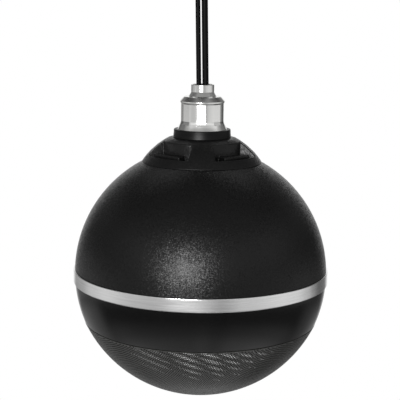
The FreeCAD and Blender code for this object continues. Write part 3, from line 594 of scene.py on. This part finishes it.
@dataclass
class Shells:
    """The ball's lower belt and the band over its joint.

    The belt's tongue stands up inside the band. Its two round sides are drawn from foot_start and
    seat_start above their lower edges.
    """

    turning: Turning
    radius: float = 100.0
    wall: float = 3.0
    split: float = -1.35
    band_height: float = 10.1
    band_radius: float = 100.985
    band_bore: float = 98.6
    band_gap: float = 0.2
    band_break: float = 0.5
    tongue: float = 4.85
    foot: float = -38.5
    foot_start: float = 1.0
    seat_start: float = 0.5
    ledge_inner: float = 84.0
    ledge: float = 2.5
    edge_round: float = 0.7
    outer_steps: int = 28
    inner_steps: int = 12

    def lower(self) -> None:
        """Makes the lower belt, with the small round that the mould leaves at its foot."""
        shoulder = self.split - self.band_height / 2 - self.band_gap
        tip, tongue_r = shoulder + self.tongue, self.band_bore - self.band_gap
        inner = self.radius - self.wall
        foot_r = math.sqrt(self.radius ** 2 - self.foot ** 2)
        seat = self.foot + self.ledge
        inner_r = math.sqrt(inner ** 2 - seat ** 2)
        outline = eased([
            (tongue_r, tip), (tongue_r, shoulder),
            *arc(self.radius, 0, shoulder, self.foot + self.foot_start, self.outer_steps),
            (foot_r, self.foot, self.edge_round), (self.ledge_inner, self.foot), (self.ledge_inner, seat),
            (inner_r, seat), *arc(inner, 0, seat + self.seat_start, tip, self.inner_steps)])
        dress(self.turning.piece("lower_belt", outline), SATIN_ABS, "lower_shell")

    def band(self) -> None:
        """Makes the aluminium band, with its two edges broken."""
        top, low = (self.split + side * self.band_height / 2 for side in (1, -1))
        outline = eased([(self.band_bore, low), (self.band_radius, low, self.band_break),
                         (self.band_radius, top, self.band_break), (self.band_bore, top)])
        dress(self.turning.piece("waist_band", outline), BRUSHED_ALUMINIUM, "trim_band")

    def build(self) -> None:
        """Makes the lower belt and the band; the upper half keeps its CAD shape."""
        self.lower()
        self.band()


@dataclass
class Grille:
    """Punched steel dome: its face, the walls of its holes and its turned-in rim.

    The holes lie in a hexagonal pattern, stretched a little where the flat sheet was drawn into a dome.
    Each is drawn with six sides, as its cell is. hole is its radius, and border the least width of sheet left
    round it at the rim.
    """

    turning: Turning
    rim: float = 92.3
    top: float = -38.8
    bulge: float = 59.1
    sheet: float = 0.5
    lip: float = 7.5
    lip_sheet: float = 1.0
    pitch: float = 1.89
    hole: float = 0.7
    border: float = 0.15
    rows_turn: float = -3.2
    edge_break: float = 0.25
    rim_gap: float = 0.02

    def __post_init__(self) -> None:
        """Works out the dome's sphere from its rim and bulge."""
        self.radius = (self.rim ** 2 + self.bulge ** 2) / (2 * self.bulge)
        self.centre = self.top - self.bulge + self.radius
        self.edge = math.asin(self.rim / self.radius)
        self.flat_edge = 2 * self.radius * math.sin(self.edge / 2)

    def on_dome(self, x: float, y: float, depth: float = 0.0) -> Spot:
        """Place on the dome of a point of the flat sheet.

        Args:
            x: Distance across the flat sheet from its middle.
            y: Distance along it.
            depth: How far inside the outer face.

        Returns:
            The place in metres.
        """
        reach = min(math.hypot(x, y), self.flat_edge)
        turn = math.atan2(y, x) + math.radians(self.rows_turn)
        tilt = 2 * math.asin(reach / (2 * self.radius))
        radius = self.radius - depth
        return self.turning.spot(radius * math.sin(tilt), turn, self.centre - radius * math.cos(tilt))

    def punched(self) -> None:
        """Makes the face and the walls of its holes, one hexagonal cell for each hole."""
        face, walls = bmesh.new(), bmesh.new()
        row_step = self.pitch * math.sqrt(3) / 2
        corner = self.pitch / math.sqrt(3)
        turns = [math.radians(30 + 60 * at) for at in range(6)]
        shared: dict[tuple[int, int], bmesh.types.BMVert] = {}
        holes = 0
        reach = int(self.flat_edge / row_step) + 2
        for row in range(-reach, reach + 1):
            for column in range(-reach - 2, reach + 3):
                x, y = (column + 0.5 * (row % 2)) * self.pitch, row * row_step
                if math.hypot(x, y) > self.flat_edge + corner:
                    continue
                ring = []
                for turn in turns:
                    cx, cy = x + corner * math.cos(turn), y + corner * math.sin(turn)
                    # Cells share their corners, which stand half a corner's reach or more apart.
                    key = (round(cx / corner * 4), round(cy / corner * 4))
                    if key not in shared:
                        shared[key] = face.verts.new(self.on_dome(cx, cy))
                    ring.append(shared[key])
                # A cell at the rim that has no room for a hole stays whole.
                if math.hypot(x, y) > self.flat_edge - self.border - self.hole:
                    face.faces.new(ring)
                    continue
                holes += 1
                rounds = [(x + self.hole * math.cos(turn), y + self.hole * math.sin(turn)) for turn in turns]
                inner = [face.verts.new(self.on_dome(*spot)) for spot in rounds]
                outer_wall = [walls.verts.new(self.on_dome(*spot)) for spot in rounds]
                inner_wall = [walls.verts.new(self.on_dome(*spot, self.sheet)) for spot in rounds]
                for at in range(6):
                    beside = (at + 1) % 6
                    face.faces.new((ring[at], ring[beside], inner[beside], inner[at]))
                    walls.faces.new((outer_wall[at], outer_wall[beside], inner_wall[beside], inner_wall[at]))
        # The hole walls get painted shade: nearly black, for the shadow inside the holes.
        for name, shape, finish in (("grille_face", face, POWDER_COAT),
                                    ("grille_hole_walls", walls, HOLE_WALL_PAINTED_SHADE)):
            for each in shape.faces:
                each.smooth = True
            mesh = bpy.data.meshes.new(name)
            shape.normal_update()
            shape.to_mesh(mesh)
            shape.free()
            dress(object_from(mesh, name), finish, "grille")
        LOG.info("grille: %d holes", holes)

    def turned_rim(self) -> None:
        """Makes the flat lip into which the rim is turned."""
        under = self.top - self.lip_sheet
        inner = self.radius - self.sheet
        rim_inner = math.sqrt(inner ** 2 - (under - self.centre) ** 2)
        outline = [(self.rim - self.rim_gap, self.top - self.edge_break),
                   (self.rim - self.edge_break, self.top), (self.rim - self.lip, self.top),
                   (self.rim - self.lip, under), (rim_inner, under)]
        dress(self.turning.piece("grille_rim", outline), POWDER_COAT, "grille")

    def build(self) -> None:
        """Makes the three pieces of the grille."""
        self.punched()
        self.turned_rim()


@dataclass
class VentCap:
    """Domed cap with four ribs, and between them recesses with a raised pad on the floor of each.

    draft is how far a recess's side wall leans at its foot. merge and sliver are in metres: points nearer
    than the one are joined, and edges shorter than the other are closed.
    """

    turning: Turning
    rim: float = 47.2
    seat: float = 88.46
    dome: float = 56.4
    top: float = 108.0
    bore: float = 10.2
    spigot: float = 45.7
    foot: float = 86.0
    recess_inner: float = 30.4
    recess_outer: float = 42.3
    recess_floor: float = 91.6
    pad: float = 96.5
    pad_half_turn: float = 19.4
    pad_edge: float = 37.9
    rib_half_turn: float = 14.0
    draft: float = 0.8
    ribs: int = 4
    edge_round: float = 0.7
    round_steps: int = 3
    rounds_over: float = 35.0
    sharp_degrees: float = 30.0
    inner_steps: int = 6
    outer_steps: int = 3
    rib_steps: int = 9
    pad_steps: int = 24
    merge: float = 1e-7
    sliver: float = 1e-6

    def height(self, radius: float) -> float:
        """Height of the dome's surface at a radius, level at the top."""
        centre = self.seat - math.sqrt(self.dome ** 2 - self.rim ** 2)
        return min(self.top, centre + math.sqrt(self.dome ** 2 - radius ** 2))

    def column(self, turn: float, sunk: bool, raised: bool, wall: bool) -> list[Spot]:
        """Outline of the cap on one side of an upright plane through the axis.

        Args:
            turn: Turn from the middle of the recess, in radians.
            sunk: Whether the plane passes through the recess.
            raised: Whether it passes through the pad.
            wall: Whether it is the recess's side wall, whose foot leans into the recess.

        Returns:
            Radius, turn and height of each point, from the bore outwards, and back along the underside.
        """
        inside = [self.bore + (self.recess_inner - self.bore) * at / self.inner_steps
                  for at in range(self.inner_steps + 1)]
        edge = self.pad_edge / math.cos(min(abs(turn), math.radians(self.pad_half_turn)))
        floor = self.pad if raised else self.recess_floor
        lows = [(self.recess_inner, floor), ((self.recess_inner + edge) / 2, floor), (edge, floor),
                (edge, self.recess_floor), (self.recess_outer, self.recess_floor)]
        if not sunk:
            lows = [(radius, self.height(radius)) for radius, _ in lows]
        lean = math.copysign(self.draft, -turn) if wall else 0.0
        outside = [self.recess_outer + (self.rim - self.recess_outer) * at / self.outer_steps
                   for at in range(self.outer_steps + 1)]
        points = [(radius, turn, self.height(radius)) for radius in inside]
        points += [(radius, turn + lean / radius, height) for radius, height in lows]
        points += [(radius, turn, self.height(radius)) for radius in outside]
        return points + [(self.spigot, turn, self.seat), (self.spigot, turn, self.foot),
                         (self.bore, turn, self.foot)]

    def plan(self) -> list[tuple[float, bool, bool, bool]]:
        """Lists the upright planes of one quarter, from rib middle to rib middle.

        Returns:
            Turn from the recess's middle, and whether the plane is sunk, raised, or a side wall.
        """
        half = math.pi / self.ribs
        rib, pad = math.radians(self.rib_half_turn), math.radians(self.pad_half_turn)
        wall = half - rib
        left = [(-half + rib * at / self.rib_steps, False, False, False)
                for at in range(self.rib_steps + 1)]
        left += [(-wall, True, False, True), (-(wall + pad) / 2, True, False, False),
                 (-pad, True, False, False)]
        middle = [(-pad + 2 * pad * at / self.pad_steps, True, True, False)
                  for at in range(self.pad_steps + 1)]
        right = [(-turn, sunk, raised, walled) for turn, sunk, raised, walled in reversed(left[1:])]
        return left + middle + right

    def build(self) -> None:
        """Makes the cap from upright planes round the axis, with its edges rounded."""
        shape = bmesh.new()
        columns = []
        for quarter in range(self.ribs):
            middle = (2 * quarter + 1) * math.pi / self.ribs
            for plane in self.plan():
                columns.append([shape.verts.new(self.turning.spot(radius, middle + turn, height))
                                for radius, turn, height in self.column(*plane)])
        for column, after in zip(columns, columns[1:] + columns[:1]):
            count = len(column)
            for at in range(count):
                beside = (at + 1) % count
                shape.faces.new((column[at], after[at], after[beside], column[beside]))
        bmesh.ops.remove_doubles(shape, verts=shape.verts, dist=self.merge)
        bmesh.ops.dissolve_degenerate(shape, dist=self.sliver, edges=shape.edges)
        cap = finished(shape, "ribbed_cap", self.sharp_degrees)
        rounding = cap.modifiers.new("edges", "BEVEL")
        rounding.width = self.edge_round * MM
        rounding.segments = self.round_steps
        rounding.limit_method = "ANGLE"
        rounding.angle_limit = math.radians(self.rounds_over)
        rounding.harden_normals = True
        dress(cap, CAP_ABS, "vent_cap")


@dataclass
class Gland:
    """Turned gland with spanner flats, and the collar under it.

    Each break is how far a broken edge reaches inwards and downwards, and neck_fillet how far the fillet at
    the neck's foot reaches outwards and upwards. flat_margin is a turn in radians.
    """

    turning: Turning
    collar_radius: float = 22.7
    collar_foot: float = 108.0
    collar_height: float = 6.4
    collar_bevel: float = 0.8
    collar_foot_round: float = 0.3
    collar_spread: float = 0.45
    collar_steps: int = 10
    collar_round_steps: int = 5
    bore: float = 10.2
    foot_radius: float = 19.3
    flare: float = 6.5
    flare_power: float = 1.3
    flare_steps: int = 10
    body_radius: float = 16.95
    lip_radius: float = 17.5
    lip: float = 1.2
    under_lip_break: tuple[float, float] = (0.15, 0.1)
    lip_break: tuple[float, float] = (0.2, 0.25)
    side: float = 22.2
    shoulder_radius: float = 14.4
    shoulder_rise: float = 3.2
    shoulder_break: tuple[float, float] = (0.1, 0.2)
    shoulder_spread: float = 0.25
    neck_radius: float = 10.8
    neck_rise: float = 3.3
    neck_fillet: tuple[float, float] = (0.3, 0.25)
    ring_radius: float = 9.1
    ring_height: float = 6.0
    ring_foot_round: float = 0.3
    ring_round: float = 0.4
    mouth: float = 7.6
    mouth_seat: float = 10.1
    flats: int = 8
    flat_half_turn: float = 11.0
    flat_foot: float = 3.8
    flat_step: float = 0.12
    flat_clear: float = 0.2
    flat_margin: float = 1e-4
    flats_turn: float = -2.4
    columns: int = 720
    sharp_degrees: float = 6.0

    def collar(self) -> None:
        """Makes the spacer ring."""
        top = self.collar_foot + self.collar_height
        edge = self.collar_radius - self.collar_spread
        side = [(edge + self.collar_spread * (1 - at / self.collar_steps) ** 2,
                 self.collar_foot + self.collar_height * at / self.collar_steps)
                for at in range(1, self.collar_steps - 1)]
        outline = eased([
            (self.bore, self.collar_foot), (self.collar_radius, self.collar_foot, self.collar_foot_round),
            *side, (edge, top, self.collar_bevel), (self.bore, top)], self.collar_round_steps)
        dress(self.turning.piece("collar", outline), COLLAR_ACETAL, "collar_ring")

    def flared(self, share: float) -> float:
        """Radius of the flared foot at a share of its height."""
        return self.body_radius + (self.foot_radius - self.body_radius) * (1 - share) ** self.flare_power

    def rows(self) -> list[tuple[float, float, bool]]:
        """Lists the body's outline, from its foot up and back down through its bore.

        Returns:
            Radius and height of each point, and whether the flats are cut there.
        """
        foot = self.collar_foot + self.collar_height
        shoulder = foot + self.side
        neck = shoulder + self.shoulder_rise
        ring = neck + self.neck_rise
        flat_foot, flat_top = foot + self.flat_foot, shoulder - self.lip
        flare = [(self.flared(at / self.flare_steps), foot + self.flare * at / self.flare_steps)
                 for at in range(1, self.flare_steps + 1)]
        below = [(radius, height) for radius, height in flare if height < flat_foot - self.flat_clear]
        above = [(radius, height) for radius, height in flare if height > flat_foot + self.flat_clear]
        at_foot = self.flared(self.flat_foot / self.flare)
        rows = [(self.bore, foot, False), (self.foot_radius, foot, False)]
        rows += [(radius, height, False) for radius, height in below]
        rows += [(at_foot, flat_foot, False), (at_foot, flat_foot + self.flat_step, True)]
        rows += [(radius, height, True) for radius, height in above]
        inwards, down = self.under_lip_break
        rows += [(self.body_radius, flat_top - self.lip, True),
                 (self.lip_radius - inwards, flat_top - down, True), (self.lip_radius, flat_top, False)]
        inwards, down = self.lip_break
        rows += [(self.lip_radius, shoulder - down, False), (self.lip_radius - inwards, shoulder, False)]
        inwards, down = self.shoulder_break
        rows += [(self.shoulder_radius + self.shoulder_spread, neck - down, False),
                 (self.shoulder_radius - inwards, neck, False)]
        outwards, up = self.neck_fillet
        rows += [(self.neck_radius + outwards, neck, False), (self.neck_radius, neck + up, False),
                 (self.ring_radius, ring, False), (self.mouth, ring, False),
                 (self.mouth, foot + self.mouth_seat, False), (self.bore, foot + self.mouth_seat, False)]
        return rows

    def body(self) -> None:
        """Makes the body, whose flats are cut back from its turned side."""
        pitch = 2 * math.pi / self.flats
        lag = pitch / 2 + math.radians(self.flats_turn)
        half = math.radians(self.flat_half_turn)
        shape = bmesh.new()
        rings = []
        for radius, height, cut in self.rows():
            spots = []
            for at in range(self.columns):
                turn = 2 * math.pi * at / self.columns
                off = (turn - pitch / 2 + math.pi / self.flats) % pitch - pitch / 2
                inside = cut and abs(off) < half + self.flat_margin
                reach = radius * math.cos(half) / math.cos(off) if inside else radius
                spots.append(shape.verts.new(self.turning.spot(reach, turn + lag, height)))
            rings.append(spots)
        join_rings(shape, rings)
        dress(finished(shape, "gland_turning", self.sharp_degrees), SATIN_NICKEL, "gland_body")

    def ring(self) -> None:
        """Makes the clamping ring at the mouth, with its edges broken."""
        foot = self.collar_foot + self.collar_height + self.side + self.shoulder_rise + self.neck_rise
        top = foot + self.ring_height
        outline = eased([(self.mouth, foot), (self.ring_radius, foot, self.ring_foot_round),
                         (self.ring_radius, top, self.ring_round), (self.mouth, top, self.ring_round)])
        dress(self.turning.piece("clamping_ring", outline), SATIN_NICKEL, "gland_ring")

    def build(self) -> None:
        """Makes the collar, body and ring."""
        self.collar()
        self.body()
        self.ring()


@dataclass
class Suspension:
    """The driver's rubber roll and pleated disc, which bend as the cone moves.
    """

    turning: Turning
    roll_inner: float = 49.79
    roll_outer: float = 57.29
    roll_lip: float = 3.5
    roll_top: float = -37.5
    sheet: float = 0.8
    disc_outer: float = 41.7
    disc_flat: float = 35.3
    disc_bore: float = 13.25
    disc_top: float = -9.0
    disc_glue: float = 1.5
    pleats: int = 3
    pleat_depth: float = 2.4
    steps: int = 8

    def bend(self, piece: bpy.types.Object, inner: float, outer: float) -> None:
        """Bakes a piece's place into its mesh.

        Args:
            piece: The piece, in place.
            inner: Radius up to which it would follow the cone. Not used.
            outer: Radius from which it would follow the frame. Not used.
        """
        self.turning.spot(inner, 0, 0)
        self.turning.spot(outer, 0, 0)
        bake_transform(piece)

    def roll(self) -> None:
        """Makes the half-round rubber roll with its two glued lips."""
        foot = self.roll_top - self.sheet
        middle = (self.roll_inner + self.roll_outer) / 2
        out = (self.roll_outer - self.roll_inner) / 2
        turns = [math.pi * at / (2 * self.steps) for at in range(2 * self.steps + 1)]
        under = [(middle - out * math.cos(turn), foot - out * math.sin(turn)) for turn in turns]
        over = [(middle + (out - self.sheet) * math.cos(turn), foot - (out - self.sheet) * math.sin(turn))
                for turn in turns]
        lip_in, lip_out = self.roll_inner - self.roll_lip, self.roll_outer + self.roll_lip
        outline = [(lip_in, self.roll_top), (lip_in, foot), *under, (lip_out, foot), (lip_out, self.roll_top),
                   (middle + out - self.sheet, self.roll_top), *over,
                   (middle - out + self.sheet, self.roll_top)]
        piece = dress(self.turning.piece("rubber_roll", outline), BUTYL_RUBBER, "surround", "")
        self.bend(piece, self.roll_inner, self.roll_outer)

    def disc(self) -> None:
        """Makes the pleated cotton disc."""
        half_wave = (self.disc_flat - self.disc_bore) / (2 * self.pleats)
        count = (2 * self.pleats - 1) * self.steps
        upper = [(self.disc_outer, self.disc_top)]
        for at in range(count + 1):
            swing = 1 - math.cos(math.pi * at / self.steps)
            upper.append((self.disc_flat - half_wave * (1 + at / self.steps),
                          self.disc_top - self.pleat_depth / 2 * swing))
        lower = [(radius, height - self.sheet) for radius, height in reversed(upper)]
        piece = dress(self.turning.piece("pleated_disc", [*upper, *lower]), DIPPED_COTTON, "spider", "")
        self.bend(piece, self.disc_bore + self.disc_glue, self.disc_flat)

    def build(self) -> None:
        """Makes both soft pieces."""
        self.roll()
        self.disc()


@dataclass
class Innards:
    """The nodes that keep their CAD shape, with the finish of each."""

    finishes: dict[str, Finish] = field(default_factory=lambda: {
        "upper_shell": TEXTURED_ABS, "shell_screws": ZINC_PLATE, "gland_seal": BLACK_RUBBER,
        "gland_nipple": SATIN_NICKEL, "gland_locknut": SATIN_NICKEL, "load_washer": ZINC_PLATE,
        "wire_stop": BARE_ALUMINIUM, "hanger_plate": ZINC_PLATE, "input_terminal": NYLON,
        "transformer_core": IRON_LAMINATION, "transformer_bobbin": TAPED_WINDING,
        "transformer_strap": ZINC_PLATE, "driver_terminal": PHENOLIC, "driver_leads": RED_PVC,
        "damping_lining": WADDING, "baffle_ring": SATIN_ABS, "driver_basket": BLACK_COAT,
        "driver_screws": BLACKENED_STEEL, "driver_gasket": FIBRE_BOARD,
        "cone": PAPER_PULP, "dust_cap": PAPER_PULP, "voice_coil_former": ALUMINIUM_FOIL,
        "voice_coil_winding": COPPER_WIRE, "top_plate": ZINC_PLATE,
        "magnet_ring": FERRITE, "pole_yoke": ZINC_PLATE, "ceiling_cup": CAP_ABS,
        "ceiling_bracket": ZINC_PLATE, "cup_grip": SATIN_NICKEL, "cup_grip_nut": SATIN_NICKEL,
        "cup_grip_insert": BLACK_RUBBER, "ceiling_terminal": NYLON, "ceiling_wire_stop": BARE_ALUMINIUM})

    def build(self) -> None:
        """Gives each node its finish."""
        for node, finish in self.finishes.items():
            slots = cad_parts[node].data.materials
            slots.clear()
            slots.append(finish.material())
            LOG.info("%s: %s", node, finish.name)


@dataclass(frozen=True)
class Wall:
    """One strip of the surroundings, as gloss sees it.

    around is its level of plain white at degrees round from the front, towards the right. heights is what
    that is multiplied by, for gazes from -1, straight down, to 1, straight up.
    """

    around: Levels
    heights: Levels


@dataclass(frozen=True)
class Lamp:
    """One soft lamp that faces the ball.

    azimuth is in degrees round from the front, towards the right, and rise in degrees over the horizon. The
    distance, width and height are in metres.
    """

    name: str
    azimuth: float
    rise: float
    distance: float
    width: float
    height: float
    watts: float

    def hang(self, ball: Vector) -> None:
        """Hangs the lamp.

        Args:
            ball: The ball's centre, in metres.
        """
        data = bpy.data.lights.new(self.name, "AREA")
        data.shape = "RECTANGLE"
        data.size, data.size_y = self.width, self.height
        data.energy = self.watts
        turn, lift = math.radians(self.azimuth), math.radians(self.rise)
        way = Vector((math.sin(turn) * math.cos(lift), -math.cos(turn) * math.cos(lift), math.sin(lift)))
        lamp = bpy.data.objects.new(self.name, data)
        lamp.location = ball + way * self.distance
        lamp.rotation_euler = (-way).to_track_quat("-Z", "Y").to_euler()
        bpy.context.scene.collection.objects.link(lamp)


@dataclass
class Studio:
    """A pale floor far under the ball, walls of uneven brightness round it, and soft lamps.

    Past the ball and the floor the camera sees plain white. Gloss sees the walls, and white straight behind
    the ball. Matt surfaces get diffuse_level from all round. The floor's radius is in metres.
    """

    floor_drop: float = 2000.0
    floor_radius: float = 1.1
    floor_sides: int = 96
    diffuse_level: float = 0.6
    # Straight behind the ball, by how far the gaze goes that way.
    behind: Levels = ((0.8, 0.0), (0.97, 1.0))
    # What the band and the belt mirror.
    low_wall: Wall = Wall(
        ((-180, 1.0), (-152, 0.3), (-132, 0.38), (-112, 0.64), (-92, 0.8), (-60, 0.64), (-40, 0.58),
         (-12, 0.53), (2, 0.66), (18, 0.46), (40, 0.74), (78, 0.88), (95, 0.8), (111, 0.55), (121, 0.28),
         (132, 0.12), (150, 0.15), (175, 1.0)),
        ((-1.0, 1.1), (-0.82, 1.1), (-0.65, 0.45), (-0.5, 0.1), (-0.36, 0.1), (-0.3, 1.0), (-0.2, 1.2),
         (-0.05, 0.6), (0.08, 0.2), (1.0, 0.0)))
    # What the gland's upright side mirrors.
    gland_wall: Wall = Wall(
        ((-180, 0.0), (-95, 0.0), (-76, 0.78), (-56, 0.62), (-12, 0.6), (2, 0.66), (18, 0.52), (38, 0.78),
         (62, 0.86), (88, 0.8), (104, 0.55), (116, 0.0), (180, 0.0)),
        ((-0.22, 0.0), (-0.14, 1.15), (-0.08, 1.1), (0.0, 0.0)))
    # What the belt's and the grille's flanks mirror.
    side_wall: Wall = Wall(
        ((-180, 0.5), (-118, 0.38), (-98, 0.0), (98, 0.0), (125, 0.2), (180, 0.5)),
        ((-0.85, 0.3), (-0.65, 1.0), (-0.42, 1.0), (-0.28, 0.1), (0.0, 0.0)))
    # What the slopes of gland and cap mirror.
    high_wall: Wall = Wall(
        ((-180, 0.2), (-105, 0.2), (-85, 0.45), (-60, 0.95), (75, 0.95), (95, 0.45), (115, 0.2), (180, 0.2)),
        ((0.02, 0.0), (0.25, 1.0), (0.45, 1.0), (0.65, 0.35), (1.0, 0.28)))
    lamps: tuple[Lamp, ...] = (Lamp("front_box", -14, 13.0, 1.6, 0.64, 0.45, 27),
                               Lamp("back_box", 180, 62, 2.0, 2.4, 0.5, 4.0))

    def floor(self, ball: Vector) -> None:
        """Lays the floor under the hanging ball.

        Args:
            ball: The ball's centre, in metres.
        """
        shape = bmesh.new()
        bmesh.ops.create_circle(shape, cap_ends=True, segments=self.floor_sides, radius=self.floor_radius)
        mesh = bpy.data.meshes.new("floor")
        shape.to_mesh(mesh)
        shape.free()
        floor = object_from(mesh, "floor")
        floor.location = (0, 0, ball.z - self.floor_drop * MM)
        paint = bpy.data.materials.new("pale_matt_paint")
        paint.use_nodes = True
        tree = paint.node_tree
        tree.nodes.clear()
        matt = add_node(tree, "ShaderNodeBsdfDiffuse", {"Color": linear("#f4f4f4")})
        add_node(tree, "ShaderNodeOutputMaterial", links={"Surface": matt.outputs[0]})
        mesh.materials.append(paint)

    def ramp(self, tree: bpy.types.NodeTree, value: bpy.types.NodeSocket, span: float,
             stops: Sequence[tuple[float, float]]) -> bpy.types.NodeSocket:
        """Maps a value to a level.

        Args:
            tree: The world's node tree.
            value: A value from minus the span to the span.
            span: The largest value.
            stops: Values in rising order, each with its level.

        Returns:
            A value socket.
        """
        share = add_node(tree, "ShaderNodeMapRange", {"From Min": -span, "From Max": span}, {"Value": value})
        node = add_node(tree, "ShaderNodeValToRGB", links={0: share.outputs[0]})
        node.color_ramp.interpolation = "EASE"
        marks = node.color_ramp.elements
        places = [(stop / span + 1) / 2 for stop, _ in stops]
        marks[0].position, marks[-1].position = places[0], places[-1]
        for place in places[1:-1]:
            marks.new(place)
        for mark, (_, level) in zip(marks, stops):
            mark.color = (level, level, level, 1.0)
        return node.outputs[0]

    def world(self) -> None:
        """Makes the surroundings: white to the camera, walls to gloss, and one plain level to all else."""
        world = bpy.data.worlds.new("studio")
        bpy.context.scene.world = world
        world.use_nodes = True
        tree = world.node_tree
        tree.nodes.clear()
        path = add_node(tree, "ShaderNodeLightPath")
        way = add_node(tree, "ShaderNodeTexCoord").outputs["Generated"]
        parts = add_node(tree, "ShaderNodeSeparateXYZ", links={0: way}).outputs
        inward = add_node(tree, "ShaderNodeMath", {"operation": "MULTIPLY", 1: -1.0}, {0: parts[1]})
        turn = add_node(tree, "ShaderNodeMath", {"operation": "ARCTAN2"}, {0: parts[0], 1: inward.outputs[0]})
        room = self.ramp(tree, parts[1], 1.0, self.behind)
        for wall in (self.low_wall, self.gland_wall, self.side_wall, self.high_wall):
            around = self.ramp(tree, turn.outputs[0], math.pi,
                               [(math.radians(degrees), level) for degrees, level in wall.around])
            upward = self.ramp(tree, parts[2], 1.0, wall.heights)
            part = add_node(tree, "ShaderNodeMath", {"operation": "MULTIPLY"}, {0: around, 1: upward})
            room = add_node(tree, "ShaderNodeMath", {"operation": "MAXIMUM"},
                            {0: part.outputs[0], 1: room}).outputs[0]
        gloss = add_node(tree, "ShaderNodeMix", {"data_type": "FLOAT", 2: self.diffuse_level},
                         {0: path.outputs["Is Glossy Ray"], 3: room})
        seen = add_node(tree, "ShaderNodeMath", {"operation": "MAXIMUM"},
                        {0: path.outputs["Is Camera Ray"], 1: path.outputs["Is Transmission Ray"]})
        level = add_node(tree, "ShaderNodeMath", {"operation": "MAXIMUM"},
                         {0: gloss.outputs[0], 1: seen.outputs[0]})
        back = add_node(tree, "ShaderNodeBackground", {"Color": (1, 1, 1, 1)}, {"Strength": level.outputs[0]})
        add_node(tree, "ShaderNodeOutputWorld", links={"Surface": back.outputs[0]})

    def build(self, ball: Vector) -> None:
        """Makes the floor, the surroundings and the lamps.

        Args:
            ball: The ball's centre, in metres.
        """
        self.floor(ball)
        self.world()
        for lamp in self.lamps:
            lamp.hang(ball)
        bpy.context.scene.view_settings.view_transform = "Standard"


def main() -> None:
    """Builds the scene, the camera and the cords first."""
    logging.basicConfig(level=logging.INFO, format="%(message)s")
    band_low, band_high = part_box("trim_band")
    ball = (band_low + band_high) / 2 - Vector((0, 0, Shells.split)) * MM
    Camera().build(ball)
    Cords().build()
    turning = Turning(ball)
    Shells(turning).build()
    Grille(turning).build()
    VentCap(turning).build()
    Gland(turning).build()
    Suspension(turning).build()
    Innards().build()
    Studio().build(ball)


if __name__ == "__main__":
    main()
